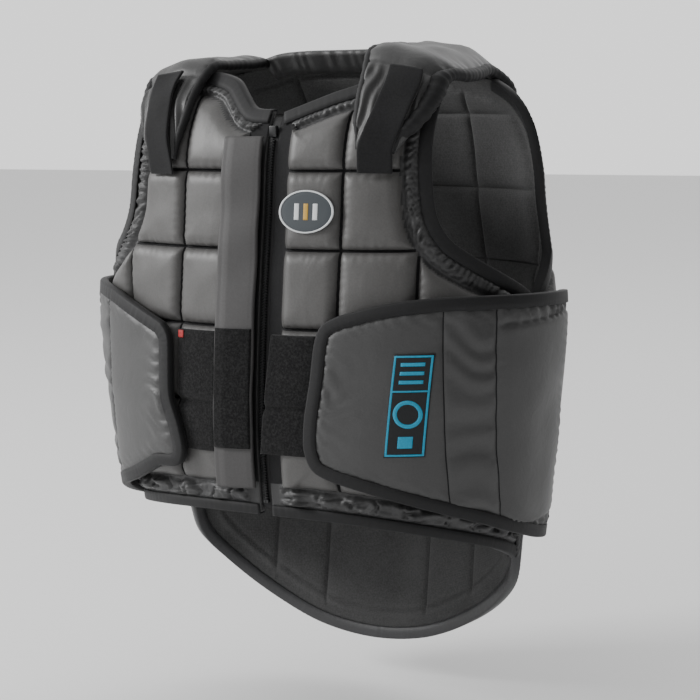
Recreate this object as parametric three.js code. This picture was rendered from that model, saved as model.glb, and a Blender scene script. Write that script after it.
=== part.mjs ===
// Equestrian body protector, adult large, as it stands when worn over a chest of about 100 cm.
// Millimetres, +Z up. The front faces -Y and the wearer's left is +X. The origin is the shoulder
// seat: the point between the two shoulders on which the shoulder pads rest.
import * as THREE from 'three';

// Body form that the foam panels wrap: the middle of the panels' thickness.
const chestHalfWidth = 209;
const frontDepth = 122;
const backDepth = 120;
const formHeight = 520;
const formPower = 2.3;
// share of the height below the seat, then shares of half width, front depth and back depth
const formTable = [
  [0.000, 0.852, 0.377, 0.433],
  [0.115, 0.947, 0.689, 0.717],
  [0.250, 0.971, 0.795, 0.825],
  [0.423, 1.000, 0.910, 0.983],
  [0.615, 0.947, 0.992, 1.000],
  [0.769, 0.900, 0.967, 0.833],
  [1.000, 0.842, 0.959, 0.642],
];

// Foam blocks and stitched seams
const columnWidth = 68;
const rowHeight = 67.8;
const firstColumn = 82;
const firstRow = 90;
const backColumns = [58, 122, 199];
const backRow = 50;
const seamHalf = 2.5;
const blockRise = 13;
const blockUnder = 7;
const bevelLow = 3;
const bevelHigh = 9.5;
const flatUnder = 20;

// Lengths down from the seat
const frontNeckDrop = 44;
const hemDrop = 391;
const hemSideDrop = 444;
const backNeckRise = 4;
const backNeckHalf = 84;
const backSeam = 405;
const tailDrop = 556;
const sideAt = 262;
const sideGap = 8;

// Armholes
const armholeFront = 156;
const armholeBack = 222;
const armholeBottom = 204;

// Zip and placket
const zipAt = 8;
const zipHalf = 6;
const tapeThickness = 1.2;
const chainWidth = 5;
const chainThickness = 3;
const placketWidth = 37;
const placketThickness = 3.2;

// Edge bindings
const bindingLeg = 9;
const bindingThickness = 1.5;
const bindingClear = 0.4;
const neckRollLeg = 14;
const neckRollThickness = 6;
const edgeFlange = 19;
const armholeFlange = 25;
const zipFlange = 6;
const placketFlange = 20;

// Waist flaps that wrap over the front
const flapLiftLeft = 20.9;
const flapLiftRight = 19.9;
const flapSeamHalf = 2;
const flapRise = 4.5;
const flapUnder = 3;
const flapEnd = 300;

// Shoulder pads and straps
const padThickness = 12;
const padHalfWidth = 40;
const padMiddle = chestHalfWidth * 0.6386;
const strapHalfWidth = 15.5;
const strapThickness = 2.2;

// Trim
const patchThickness = 1.4;
const labelAt = 150;
const labelTop = 242;
const labelWidth = 31;
const labelHeight = 88;
const badgeWidth = 52;
const badgeHeight = 37;
const trimThickness = 1.2;

const stationStep = 26;
const clear = 0.3;

const paint = {
  satin: [0x7d7b7a, 0.48],
  lining: [0x232425, 0.85],
  binding: [0x303132, 0.62],
  strap: [0x1c1c1e, 0.95],
  placket: [0x6d6c6c, 0.7],
  loop: [0x222224, 0.95],
  zip: [0x2a2b2c, 0.4],
  label: [0x121518, 0.6],
  badge: [0x4a5258, 0.55],
  tab: [0xb02a2a, 0.6],
};

const object = new THREE.Group();

function addMesh(name, positions, triangles, look) {
  let volume = 0;
  for (const [a, b, c] of triangles) {
    volume += positions[a].dot(new THREE.Vector3().crossVectors(positions[b], positions[c])) / 6;
  }
  const faces = volume < 0 ? triangles.map(([a, b, c]) => [a, c, b]) : triangles;
  const geometry = new THREE.BufferGeometry();
  const flat = new Float32Array(positions.length * 3);
  positions.forEach((point, index) => point.toArray(flat, index * 3));
  geometry.setAttribute('position', new THREE.BufferAttribute(flat, 3));
  geometry.setIndex(faces.flat());
  geometry.computeVertexNormals();
  const [color, roughness] = paint[look];
  const mesh = new THREE.Mesh(geometry, new THREE.MeshStandardMaterial({ color, roughness, metalness: 0 }));
  mesh.name = name;
  object.add(mesh);
  return mesh;
}

// Collects triangles by corner points and joins corners that lie at the same place.
class Solid {
  constructor() {
    this.points = [];
    this.index = new Map();
    this.triangles = [];
  }

  vertex(point) {
    const key = [point.x, point.y, point.z].map((value) => Math.round(value * 2000)).join();
    if (!this.index.has(key)) {
      this.index.set(key, this.points.length);
      this.points.push(point);
    }
    return this.index.get(key);
  }

  triangle(a, b, c) {
    const corners = [this.vertex(a), this.vertex(b), this.vertex(c)];
    if (new Set(corners).size === 3) this.triangles.push(corners);
  }

  quad(a, b, c, d) {
    this.triangle(a, b, c);
    this.triangle(a, c, d);
  }

  build(name, look) {
    return addMesh(name, this.points, this.triangles, look);
  }
}

// Smooth value of one column of a table at a share along it.
function tableValue(table, share, column) {
  const last = table.length - 1;
  let row = 0;
  while (row < last - 1 && share > table[row + 1][0]) row += 1;
  const slope = (k) => {
    const low = table[Math.max(k - 1, 0)];
    const high = table[Math.min(k + 1, last)];
    return (high[column] - low[column]) / (high[0] - low[0]);
  };
  const [from, to] = [table[row], table[row + 1]];
  const span = to[0] - from[0];
  const t = (share - from[0]) / span;
  if (t < 0) return from[column] + slope(0) * (share - from[0]);
  if (t > 1) return to[column] + slope(last) * (share - to[0]);
  const [t2, t3] = [t * t, t * t * t];
  return (2 * t3 - 3 * t2 + 1) * from[column] + (t3 - 2 * t2 + t) * span * slope(row)
    + (3 * t2 - 2 * t3) * to[column] + (t3 - t2) * span * slope(row + 1);
}

// Half outline of the form at one height, from the middle front round the wearer's left to the middle back.
const ringCount = 96;
const rings = new Map();
function ringAt(z) {
  const key = Math.round(z * 1000);
  if (rings.has(key)) return rings.get(key);
  const share = -z / formHeight;
  const halfWidth = chestHalfWidth * tableValue(formTable, share, 1);
  const front = frontDepth * tableValue(formTable, share, 2);
  const back = backDepth * tableValue(formTable, share, 3);
  const points = [];
  let length = 0;
  for (let k = 0; k <= ringCount; k += 1) {
    const angle = (Math.PI * k) / ringCount;
    const [c, s] = [Math.cos(angle), Math.sin(angle)];
    const x = halfWidth * Math.abs(s) ** (2 / formPower);
    const y = (c > 0 ? -front : back) * Math.abs(c) ** (2 / formPower);
    if (k > 0) length += Math.hypot(x - points[k - 1][0], y - points[k - 1][1]);
    points.push([x, y, length]);
  }
  rings.set(key, points);
  return points;
}

function ringPoint(points, length) {
  let k = 1;
  while (k < ringCount && points[k][2] < length) k += 1;
  const [a, b] = [points[k - 1], points[k]];
  const t = (length - a[2]) / (b[2] - a[2]);
  return [a[0] + (b[0] - a[0]) * t, a[1] + (b[1] - a[1]) * t];
}

function halfGirth(z) {
  return ringAt(z)[ringCount][2];
}

// Point of the form: u is the length round it from the middle front (or the middle back), positive to the
// wearer's left, z the height and out the distance outwards.
function formPoint(u, z, out = 0, fromBack = false) {
  const points = ringAt(z);
  const total = points[ringCount][2];
  const length = fromBack ? total - Math.abs(u) : Math.abs(u);
  const at = ringPoint(points, length);
  const ahead = ringPoint(points, Math.min(length + 1, total));
  const behind = ringPoint(points, Math.max(length - 1, 0));
  const tangent = new THREE.Vector2(ahead[0] - behind[0], ahead[1] - behind[1]).normalize();
  const edge = length < 1 || length > total - 1;
  const normal = edge ? [0, length < 1 ? -1 : 1] : [tangent.y, -tangent.x];
  const x = Math.max(at[0] + normal[0] * out, 0);
  return new THREE.Vector3(u < 0 ? -x : x, at[1] + normal[1] * out, z);
}

// Closed outline from named arcs: every arc is a smooth curve through its points, with its own flange.
function outlineFrom(arcs) {
  const stations = [];
  arcs.forEach((arc, arcIndex) => {
    const curve = new THREE.CatmullRomCurve3(
      arc.points.map(([u, z]) => new THREE.Vector3(u, z, 0)), false, 'centripetal');
    const pieces = Math.max(Math.round(curve.getLength() / (arc.step ?? stationStep)), 1);
    const spaced = arc.points.length > 2 ? curve.getSpacedPoints(pieces) : null;
    for (let k = 0; k < pieces; k += 1) {
      const point = spaced ? spaced[k] : new THREE.Vector3(
        THREE.MathUtils.lerp(arc.points[0][0], arc.points[1][0], k / pieces),
        THREE.MathUtils.lerp(arc.points[0][1], arc.points[1][1], k / pieces), 0);
      const flange = typeof arc.flange === 'function' ? arc.flange(k / pieces) : arc.flange;
      stations.push({ edge: [point.x, point.y], arc: arcIndex, flange });
    }
  });
  return stations;
}

// Direction at each corner that stays a given distance inside both edges that meet there.
function insideOf(stations) {
  const count = stations.length;
  const area = stations.reduce((sum, { edge: [x, y] }, k) => {
    const [nx, ny] = stations[(k + 1) % count].edge;
    return sum + x * ny - nx * y;
  }, 0);
  const turn = Math.sign(area);
  return stations.map((station, k) => {
    const before = stations[(k + count - 1) % count];
    const after = stations[(k + 1) % count];
    const unit = (from, to) => new THREE.Vector2(to[0] - from[0], to[1] - from[1]).normalize();
    const a = unit(before.edge, station.edge);
    const b = unit(station.edge, after.edge);
    const na = new THREE.Vector2(-a.y * turn, a.x * turn);
    const nb = new THREE.Vector2(-b.y * turn, b.x * turn);
    const sum = na.clone().add(nb);
    const even = sum.multiplyScalar(1 / (1 + na.dot(nb)));
    const cross = a.x * b.y - a.y * b.x;
    let inside = [station.edge[0] + even.x * station.flange, station.edge[1] + even.y * station.flange];
    if (before.flange !== station.flange && Math.abs(cross) > 0.2) {
      const p = new THREE.Vector2(...station.edge).addScaledVector(na, before.flange);
      const q = new THREE.Vector2(...station.edge).addScaledVector(nb, station.flange);
      const t = ((q.x - p.x) * b.y - (q.y - p.y) * b.x) / cross;
      inside = [p.x + a.x * t, p.y + a.y * t];
    }
    const along = [[-a.x, -a.y], [b.x, b.y]];
    const reach = [-(a.x * nb.x + a.y * nb.y), b.x * na.x + b.y * na.y];
    return { ...station, mitre: [even.x, even.y], along, reach, inside };
  });
}

const tidy = (value) => Math.round(value * 1e4) / 1e4;

// Adds a station wherever the inner line crosses a stitched seam, so seams end on shared corners.
function splitAtSeams(stations, seamsU, seamsZ) {
  const result = [];
  stations.forEach((station, k) => {
    const next = stations[(k + 1) % stations.length];
    const cuts = [];
    [seamsU, seamsZ].forEach((seams, axis) => seams.forEach((seam) => {
      const t = (seam - station.inside[axis]) / (next.inside[axis] - station.inside[axis]);
      if (t > 1e-6 && t < 1 - 1e-6) cuts.push({ t, axis, seam });
    }));
    cuts.sort((a, b) => a.t - b.t);
    result.push({ ...station, inside: station.inside.map(tidy) });
    const mix = (a, b, t) => [a[0] + (b[0] - a[0]) * t, a[1] + (b[1] - a[1]) * t];
    cuts.forEach(({ t, axis, seam }) => {
      const inside = mix(station.inside, next.inside, t).map(tidy);
      inside[axis] = seam;
      result.push({
        ...station,
        edge: mix(station.edge, next.edge, t),
        mitre: mix(station.mitre, next.mitre, t),
        flange: THREE.MathUtils.lerp(station.flange, next.flange, t),
        inside,
      });
    });
  });
  return result;
}

function sameSpot(a, b) {
  return Math.hypot(a[0] - b[0], a[1] - b[1]) < 1e-3;
}

// The part of a polygon on one side of a straight seam.
function keepSide(polygon, axis, limit, sign) {
  const inside = (point) => sign * (point[axis] - limit) >= -1e-6;
  const result = [];
  polygon.forEach((point, k) => {
    const next = polygon[(k + 1) % polygon.length];
    if (inside(point)) result.push(point);
    if (inside(point) !== inside(next)) {
      const t = (limit - point[axis]) / (next[axis] - point[axis]);
      const cut = [point[0] + (next[0] - point[0]) * t, point[1] + (next[1] - point[1]) * t].map(tidy);
      cut[axis] = limit;
      result.push(cut);
    }
  });
  return result.filter((point, k) => !sameSpot(point, result[(k + 1) % result.length]));
}

function areaOf(polygon) {
  return polygon.reduce((sum, [x, y], k) => {
    const [nx, ny] = polygon[(k + 1) % polygon.length];
    return sum + (x * ny - nx * y) / 2;
  }, 0);
}

function middleOf(polygon) {
  const area = areaOf(polygon);
  let [x, y] = [0, 0];
  polygon.forEach(([ax, ay], k) => {
    const [bx, by] = polygon[(k + 1) % polygon.length];
    const cross = ax * by - bx * ay;
    x += (ax + bx) * cross;
    y += (ay + by) * cross;
  });
  return [x / (6 * area), y / (6 * area)];
}

// Cuts a flat polygon into triangles, taking first the cuts that run up and down the form.
function earClip(polygon) {
  const left = polygon.map((_, k) => k);
  const result = [];
  const side = (a, b, c) => (b[0] - a[0]) * (c[1] - a[1]) - (b[1] - a[1]) * (c[0] - a[0]);
  const sign = Math.sign(areaOf(polygon)) || 1;
  while (left.length > 3) {
    let best = null;
    left.forEach((middle, k) => {
      const before = left[(k + left.length - 1) % left.length];
      const after = left[(k + 1) % left.length];
      const [a, b, c] = [polygon[before], polygon[middle], polygon[after]];
      if (sign * side(a, b, c) < 1e-4) return;
      const blocked = left.some((other) => {
        if ([before, middle, after].includes(other)) return false;
        const p = polygon[other];
        return [[a, b], [b, c], [c, a]].every(([start, end]) => sign * side(start, end, p) >= -1e-7);
      });
      if (blocked) return;
      const cost = Math.abs(a[0] - c[0]) + 0.25 * Math.abs(a[1] - c[1]);
      if (!best || cost < best.cost) best = { cost, k, corners: [before, middle, after] };
    });
    if (!best) break;
    result.push(best.corners);
    left.splice(best.k, 1);
  }
  result.push([left[0], left[1], left[2]]);
  return result;
}

// Quilted foam panel: a thin stitched web with a rounded foam block in every cell of its seam grid.
function quiltedPanel(name, look, { arcs, seamsU, seamsZ, fromBack = false, lift = 0, web, rise, under }) {
  const stations = splitAtSeams(insideOf(outlineFrom(arcs)), seamsU, seamsZ);
  const solid = new Solid();
  const at = ([u, z], out) => formPoint(u, z, lift + out, fromBack);
  stations.forEach((station, k) => {
    const next = stations[(k + 1) % stations.length];
    solid.quad(at(station.edge, web), at(next.edge, web), at(next.inside, web), at(station.inside, web));
    solid.quad(at(station.edge, -web), at(station.inside, -web), at(next.inside, -web), at(next.edge, -web));
    solid.quad(at(station.edge, -web), at(next.edge, -web), at(next.edge, web), at(station.edge, web));
  });
  const field = stations.map((station) => station.inside);
  const limits = (seams, axis) => {
    const values = field.map((point) => point[axis]);
    const [low, high] = [Math.min(...values) - 1, Math.max(...values) + 1];
    return [low, ...seams.filter((seam) => seam > low + 1 && seam < high - 1).sort((a, b) => a - b), high];
  };
  const [edgesU, edgesZ] = [limits(seamsU, 0), limits(seamsZ, 1)];
  for (let column = 0; column < edgesU.length - 1; column += 1) {
    for (let row = 0; row < edgesZ.length - 1; row += 1) {
      let cell = keepSide(field, 0, edgesU[column], 1);
      cell = keepSide(cell, 0, edgesU[column + 1], -1);
      cell = keepSide(cell, 1, edgesZ[row], 1);
      cell = keepSide(cell, 1, edgesZ[row + 1], -1);
      if (cell.length < 3 || Math.abs(areaOf(cell)) < 1e-3) continue;
      const halfway = (edgesU[column] + edgesU[column + 1]) / 2;
      const polygon = [];
      cell.forEach((point, k) => {
        const next = cell[(k + 1) % cell.length];
        polygon.push(point);
        const onSeam = point[1] === next[1] && seamsZ.includes(point[1]);
        const crosses = (point[0] - halfway) * (next[0] - halfway) < -1;
        if (onSeam && crosses) polygon.push([halfway, point[1]]);
      });
      const along = (axis) => polygon.map((p) => p[axis]);
      const spread = (axis) => Math.max(...along(axis)) - Math.min(...along(axis));
      const [wide, tall] = [spread(0) / 2, spread(1) / 2];
      const fullness = Math.min(1, Math.min(wide, tall) / flatUnder);
      const middle = middleOf(polygon);
      const shrink = (inset) => polygon.map(([u, z]) => [
        middle[0] + (u - middle[0]) * (1 - Math.min(inset / wide, 0.55)),
        middle[1] + (z - middle[1]) * (1 - Math.min(inset / tall, 0.55)),
      ]);
      const layers = (steps, facing) => {
        let [ring, height] = [polygon, facing * web];
        steps.forEach(([inset, nextHeight]) => {
          const inner = shrink(inset);
          ring.forEach((point, k) => {
            const j = (k + 1) % ring.length;
            const [a, b] = [at(point, height), at(ring[j], height)];
            const [c, d] = [at(inner[j], nextHeight), at(inner[k], nextHeight)];
            if (facing > 0) solid.quad(a, b, c, d);
            else solid.quad(d, c, b, a);
          });
          [ring, height] = [inner, nextHeight];
        });
        earClip(ring).forEach(([a, b, c]) => {
          const corners = [a, b, c].map((k) => at(ring[k], height));
          if (facing < 0) corners.reverse();
          solid.triangle(...corners);
        });
      };
      const small = Math.min(wide, tall) < 7;
      const grown = (full) => web + (full - web) * fullness;
      layers(small ? [] : [[bevelLow, grown(rise * 0.6)], [bevelHigh, grown(rise)]], 1);
      layers(small ? [] : [[bevelHigh, -grown(under)]], -1);
    }
  }
  solid.build(name, look);
  return stations;
}

// Folded tape along an edge: a channel whose two legs lie on the outer and inner face.
function binding(name, look, stations, { fromBack = false, lift = 0, web, leg, thickness, rise = 0 }) {
  const c = bindingClear;
  const section = [
    [leg, web + c + rise], [-c, web + c], [-c, -web - c], [leg, -web - c - rise],
    [-c - thickness, -web - c - thickness], [-c - thickness, web + c + thickness],
  ];
  const tip = thickness * 0.55;
  const outline = [
    section[0], section[1], section[2], section[3],
    [leg - 0.5, section[3][1] - tip], section[4], section[5], [leg - 0.5, section[0][1] + tip],
  ];
  // the legs lie along the straight line from the edge to the start of the foam, as the flange does
  const rows = stations.map(({ edge, inside, flange }) => outline.map(([inset, height]) => {
    const start = formPoint(edge[0], edge[1], lift + height, fromBack);
    const end = formPoint(inside[0], inside[1], lift + height, fromBack);
    return start.lerp(end, inset / flange);
  }));
  const solid = new Solid();
  const count = outline.length;
  rows.forEach((row, k) => {
    if (k === rows.length - 1) return;
    const next = rows[k + 1];
    for (let j = 0; j < count; j += 1) {
      const i = (j + 1) % count;
      if (j < 2) solid.quad(row[i], next[i], next[j], row[j]);
      else solid.quad(row[j], row[i], next[i], next[j]);
    }
  });
  earClip(outline).forEach(([a, b, d]) => {
    solid.triangle(rows[0][d], rows[0][b], rows[0][a]);
    const last = rows[rows.length - 1];
    solid.triangle(last[a], last[b], last[d]);
  });
  solid.build(name, look);
}

// Stations of a run of arcs, with both ends set back a little, cut on the slant of the neighbouring edge.
function runOf(stations, arcs, cutStart = 'mitre', cutEnd = 'mitre', setBack = 0.4) {
  const count = stations.length;
  const first = stations.findIndex((station, k) => station.arc === arcs[0]
    && stations[(k + count - 1) % count].arc !== arcs[0]);
  const run = [];
  for (let k = 0; k <= count; k += 1) {
    const station = stations[(first + k) % count];
    run.push(station);
    if (!arcs.includes(station.arc)) break;
  }
  const square = (station, side) => station.along[side].map((value) => value / station.reach[side]);
  const trim = (end, inner, cut, side) => {
    const flange = cut === 'edge' ? inner.flange : end.flange;
    const across = square(end, side);
    const inside = cut === 'edge' ? across.map((value, k) => end.edge[k] + value * flange) : end.inside;
    const length = Math.hypot(inner.edge[0] - end.edge[0], inner.edge[1] - end.edge[1]);
    const t = Math.min(setBack / length, 0.4);
    const move = (from, to) => [0, 1].map((k) => from[k] + (to[k] - from[k]) * t);
    return { ...end, flange, edge: move(end.edge, inner.edge), inside: move(inside, inner.inside) };
  };
  const last = run.length - 1;
  const [start, finish] = [trim(run[0], run[1], cutStart, 0), trim(run[last], run[last - 1], cutEnd, 1)];
  return [start, ...run.slice(1, last), finish];
}

// Solid through a list of rings of points, closed at both ends.
function loft(name, look, ringsOfPoints) {
  const solid = new Solid();
  const count = ringsOfPoints[0].length;
  ringsOfPoints.slice(0, -1).forEach((ring, k) => {
    const next = ringsOfPoints[k + 1];
    for (let j = 0; j < count; j += 1) {
      const i = (j + 1) % count;
      solid.quad(ring[j], ring[i], next[i], next[j]);
    }
  });
  const end = ringsOfPoints[ringsOfPoints.length - 1];
  for (let j = 1; j < count / 2; j += 1) {
    const [a, b, c, d] = [j - 1, j, count - 1 - j, (count - j) % count];
    solid.quad(ringsOfPoints[0][d], ringsOfPoints[0][c], ringsOfPoints[0][b], ringsOfPoints[0][a]);
    solid.quad(end[a], end[b], end[c], end[d]);
  }
  return solid.build(name, look);
}

const armholeMargin = (share) => edgeFlange + (armholeFlange - edgeFlange) * Math.sin(Math.PI * share);
const mirror = (points, side) => points.map(([u, z]) => [u * side, z]);
const rowsFrom = (first, count) => Array.from({ length: count }, (_, k) => tidy(-first - rowHeight * k));

// Front panels
const frontRows = rowsFrom(firstRow, 5);
const frontColumns = [firstColumn, firstColumn + columnWidth, firstColumn + columnWidth + 57];
const hemAt = (share) => -hemDrop - (hemSideDrop - hemDrop) * share ** 2.4;
const armholeCurve = [
  [armholeFront, -14], [armholeFront - 1, -62], [armholeFront + 1, -104], [armholeFront + 6, -132],
  [armholeFront + 18, -151], [armholeFront + 37, -165], [armholeFront + 62, -180], [sideAt, -armholeBottom],
];
const hemCurve = (start) => [1, 0.82, 0.6, 0.35, 0.15, 0].map((share) => [
  THREE.MathUtils.lerp(start, sideAt, share), hemAt(share)]);
const leftFrontEdge = zipAt + zipHalf;
const rightFrontEdge = zipAt - zipHalf;
const neckLeft = [[leftFrontEdge, -frontNeckDrop + 2], [28, -37], [58, -26], [88, -16], [104, -3]];
const neckRight = [
  [-rightFrontEdge, -frontNeckDrop - 5], [22, -46], [38, -36], [56, -20], [78, -9], [104, -3],
];

function frontPanel(side, front, neck) {
  const arcs = [
    { points: mirror(neck, side), flange: edgeFlange },
    { points: mirror([[104, -3], [armholeFront, -14]], side), flange: edgeFlange },
    { points: mirror(armholeCurve, side), flange: armholeMargin },
    {
      points: mirror([[sideAt, -armholeBottom], [sideAt, -hemSideDrop]], side), flange: edgeFlange, step: 48,
    },
    { points: mirror(hemCurve(front), side), flange: edgeFlange },
    { points: mirror([[front, -hemDrop], neck[0]], side), flange: side > 0 ? zipFlange : placketFlange },
  ];
  return quiltedPanel(side > 0 ? 'front_panel_left' : 'front_panel_right', 'satin', {
    arcs,
    seamsU: frontColumns.map((column) => column * side),
    seamsZ: frontRows,
    web: seamHalf,
    rise: blockRise,
    under: blockUnder,
  });
}

const tape = { web: seamHalf, leg: bindingLeg, thickness: bindingThickness, rise: 0.8 };
const frontSides = [[1, leftFrontEdge, neckLeft, 'left'], [-1, -rightFrontEdge, neckRight, 'right']];
frontSides.forEach(([side, front, neck, word]) => {
  const stations = frontPanel(side, front, neck);
  binding(`neck_binding_${word}`, 'binding', runOf(stations, [0], 'edge', 'mitre'), tape);
  binding(`armhole_binding_${word}`, 'binding', runOf(stations, [2, 3]), tape);
  binding(`hem_binding_${word}`, 'binding', runOf(stations, [4], 'mitre', 'edge'), tape);
});

// Back panel, its neck roll and its armhole bindings
const backHalf = (z) => halfGirth(z) - sideAt - sideGap;
const backNeck = [-1, -0.8, -0.5, 0, 0.5, 0.8, 1].map((share) => (
  [backNeckHalf * share, backNeckRise - 6 * Math.abs(share) ** 5]));
const backArmhole = [
  [164, -20], [armholeBack - 31, -34], [armholeBack - 13, -56], [armholeBack - 3, -86], [armholeBack, -118],
  [armholeBack + 1, -148], [armholeBack + 8, -176], [backHalf(-armholeBottom), -armholeBottom],
];
const backSide = [0, 0.33, 0.67, 1].map((share) => {
  const z = THREE.MathUtils.lerp(-armholeBottom, -backSeam, share);
  return [backHalf(z), z];
});
const flipped = (points) => mirror(points, -1).reverse();
const backStations = quiltedPanel('back_panel', 'satin', {
  arcs: [
    { points: backNeck, flange: edgeFlange },
    { points: [backNeck[6], backArmhole[0]], flange: edgeFlange },
    { points: backArmhole, flange: armholeMargin },
    { points: backSide, flange: edgeFlange, step: 60 },
    { points: [backSide[3], [-backSide[3][0], -backSeam]], flange: edgeFlange },
    { points: flipped(backSide), flange: edgeFlange, step: 60 },
    { points: flipped(backArmhole), flange: armholeMargin },
    { points: [flipped(backArmhole)[7], backNeck[0]], flange: edgeFlange },
  ],
  seamsU: backColumns.flatMap((seam) => [-seam, seam]).sort((a, b) => a - b),
  seamsZ: rowsFrom(backRow, 5),
  fromBack: true,
  web: seamHalf,
  rise: blockRise,
  under: blockUnder,
});
const onBack = { ...tape, fromBack: true };
binding('back_neck_roll', 'satin', runOf(backStations, [0]), {
  ...onBack, leg: neckRollLeg, thickness: neckRollThickness, rise: 2,
});
binding('back_armhole_binding_left', 'binding', runOf(backStations, [2, 3], 'mitre', 'mitre', 2.6), onBack);
binding('back_armhole_binding_right', 'binding', runOf(backStations, [5, 6], 'mitre', 'mitre', 2.6), onBack);

// Tail flap below the back panel, with upright channels
const tailTop = -backSeam - clear;
const tailHalf = backHalf(tailTop) - 1;
const tailCurve = [
  [backHalf(-backSeam - 27) - 2, -backSeam - 27],
  [193, -460], [160, -495], [115, -527], [60, -550], [0, -tailDrop],
];
const tailStations = quiltedPanel('tail_flap', 'satin', {
  arcs: [
    { points: [[-tailHalf, tailTop], [tailHalf, tailTop]], flange: edgeFlange },
    { points: [[tailHalf, tailTop], tailCurve[0]], flange: edgeFlange },
    { points: [...tailCurve, ...flipped(tailCurve).slice(1)], flange: edgeFlange },
    { points: [flipped(tailCurve)[5], [-tailHalf, tailTop]], flange: edgeFlange },
  ],
  seamsU: [-2, -1, 1, 2].map((k) => Math.sign(k) * (57 + (Math.abs(k) - 1) * 56)),
  seamsZ: [],
  fromBack: true,
  web: seamHalf,
  rise: blockRise - 3,
  under: blockUnder - 1,
});
binding('tail_binding', 'binding', runOf(tailStations, [1, 2, 3], 'mitre', 'mitre', 2.6), onBack);

// Waist flaps
const flapSections = [171, 209];
const flapArcs = (side, top, front, bottom) => [
  { points: mirror(front, side), flange: 13 },
  { points: mirror(top, side), flange: 13 },
  { points: mirror([top[top.length - 1], bottom[0]], side), flange: 8, step: 60 },
  { points: mirror(bottom, side), flange: 13 },
];
const flapLeft = {
  front: [[82, -351], [68, -343], [62, -328], [62, -304], [67, -268], [72, -228], [77, -219], [90, -212]],
  top: [[90, -212], [124, -203], [163, -198], [205, -198], [250, -201], [flapEnd, -206]],
  bottom: [[flapEnd, -432], [262, -423], [224, -408], [183, -388], [135, -369], [82, -351]],
};
const flapRight = {
  front: [[96, -353], [72, -349], [66, -337], [70, -316], [80, -290], [82, -260], [84, -236], [92, -226]],
  top: [[92, -226], [128, -213], [166, -202], [205, -199], [250, -201], [flapEnd, -206]],
  bottom: [[flapEnd, -432], [262, -423], [224, -408], [183, -389], [135, -372], [96, -353]],
};
const flapSides = [[1, flapLeft, 'left', flapLiftLeft], [-1, flapRight, 'right', flapLiftRight]];
flapSides.forEach(([side, shape, word, lift]) => {
  const stations = quiltedPanel(`waist_flap_${word}`, 'satin', {
    arcs: flapArcs(side, shape.top, shape.front, shape.bottom),
    seamsU: flapSections.map((seam) => seam * side),
    seamsZ: [],
    lift,
    web: flapSeamHalf,
    rise: flapRise,
    under: flapUnder,
  });
  const run = runOf(stations, [3, 0, 1]);
  binding(`flap_binding_${word}`, 'binding', run, {
    lift, web: flapSeamHalf, leg: bindingLeg, thickness: bindingThickness, rise: 0.6,
  });
});

// Bands, patches and trim: flat strips that lie on the form at a given height
function formStrip(name, look, { us, zs, bottom, top, slant = () => 0 }) {
  const solid = new Solid();
  const heightAt = (height, u) => (typeof height === 'function' ? height(u) : height);
  const at = (i, j, height) => formPoint(us[i] + slant(zs[j]), zs[j], heightAt(height, us[i]));
  for (let i = 0; i < us.length - 1; i += 1) {
    for (let j = 0; j < zs.length - 1; j += 1) {
      solid.quad(at(i, j, top), at(i + 1, j, top), at(i + 1, j + 1, top), at(i, j + 1, top));
      solid.quad(at(i, j, bottom), at(i, j + 1, bottom), at(i + 1, j + 1, bottom), at(i + 1, j, bottom));
    }
  }
  const [m, n] = [us.length - 1, zs.length - 1];
  for (let i = 0; i < m; i += 1) {
    solid.quad(at(i, 0, bottom), at(i + 1, 0, bottom), at(i + 1, 0, top), at(i, 0, top));
    solid.quad(at(i + 1, n, bottom), at(i, n, bottom), at(i, n, top), at(i + 1, n, top));
  }
  for (let j = 0; j < n; j += 1) {
    solid.quad(at(0, j + 1, bottom), at(0, j, bottom), at(0, j, top), at(0, j + 1, top));
    solid.quad(at(m, j, bottom), at(m, j + 1, bottom), at(m, j + 1, top), at(m, j, top));
  }
  return solid.build(name, look);
}

const span = (from, to, count) => (
  Array.from({ length: count + 1 }, (_, k) => from + ((to - from) * k) / count));
const zipTop = -frontNeckDrop - 6;
const zipBottom = -hemDrop + 4;
const tapeHeights = span(zipTop + 5, zipBottom, 8);
formStrip('zip_tape', 'binding', {
  us: span(rightFrontEdge + clear, leftFrontEdge - clear, 1),
  zs: tapeHeights,
  bottom: -tapeThickness / 2,
  top: tapeThickness / 2,
});
formStrip('zip_chain', 'zip', {
  us: span(zipAt - chainWidth / 2, zipAt + chainWidth / 2, 1),
  zs: [zipTop - 12, ...tapeHeights.slice(1, -1), zipBottom + 6],
  bottom: tapeThickness / 2 + clear,
  top: tapeThickness / 2 + clear + chainThickness,
});
formStrip('zip_slider', 'zip', {
  us: span(zipAt - 5, zipAt + 5, 1),
  zs: span(zipTop + 2, zipTop - 11.5, 1),
  bottom: tapeThickness / 2 + clear,
  top: tapeThickness / 2 + clear + 6,
});

const onBlocks = blockRise + clear + 0.4;
const placketEdge = zipAt - placketWidth - 5;
const placketTop = (u) => (
  onBlocks + 0.6 + placketThickness - 7 * Math.max(0, (u - placketEdge) / placketWidth - 0.3));
formStrip('zip_placket', 'placket', {
  us: [placketEdge, placketEdge + 9, placketEdge + 19, placketEdge + 29, placketEdge + placketWidth],
  zs: span(-frontNeckDrop - 16, -hemDrop + 24, 9),
  bottom: (u) => placketTop(u) - placketThickness,
  top: placketTop,
});

const patchTop = -228;
const patchBottom = -334;
formStrip('loop_patch_right', 'loop', {
  us: span(-76, placketEdge - clear * 2, 2),
  zs: span(patchTop - 2, patchBottom - 2, 3),
  bottom: onBlocks,
  top: onBlocks + patchThickness,
});
formStrip('loop_patch_left', 'loop', {
  us: span(23, 66, 2),
  zs: span(patchTop - 2, patchBottom, 3),
  bottom: onBlocks,
  top: onBlocks + patchThickness,
  slant: (z) => (z - patchTop) * 0.09,
});

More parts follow.
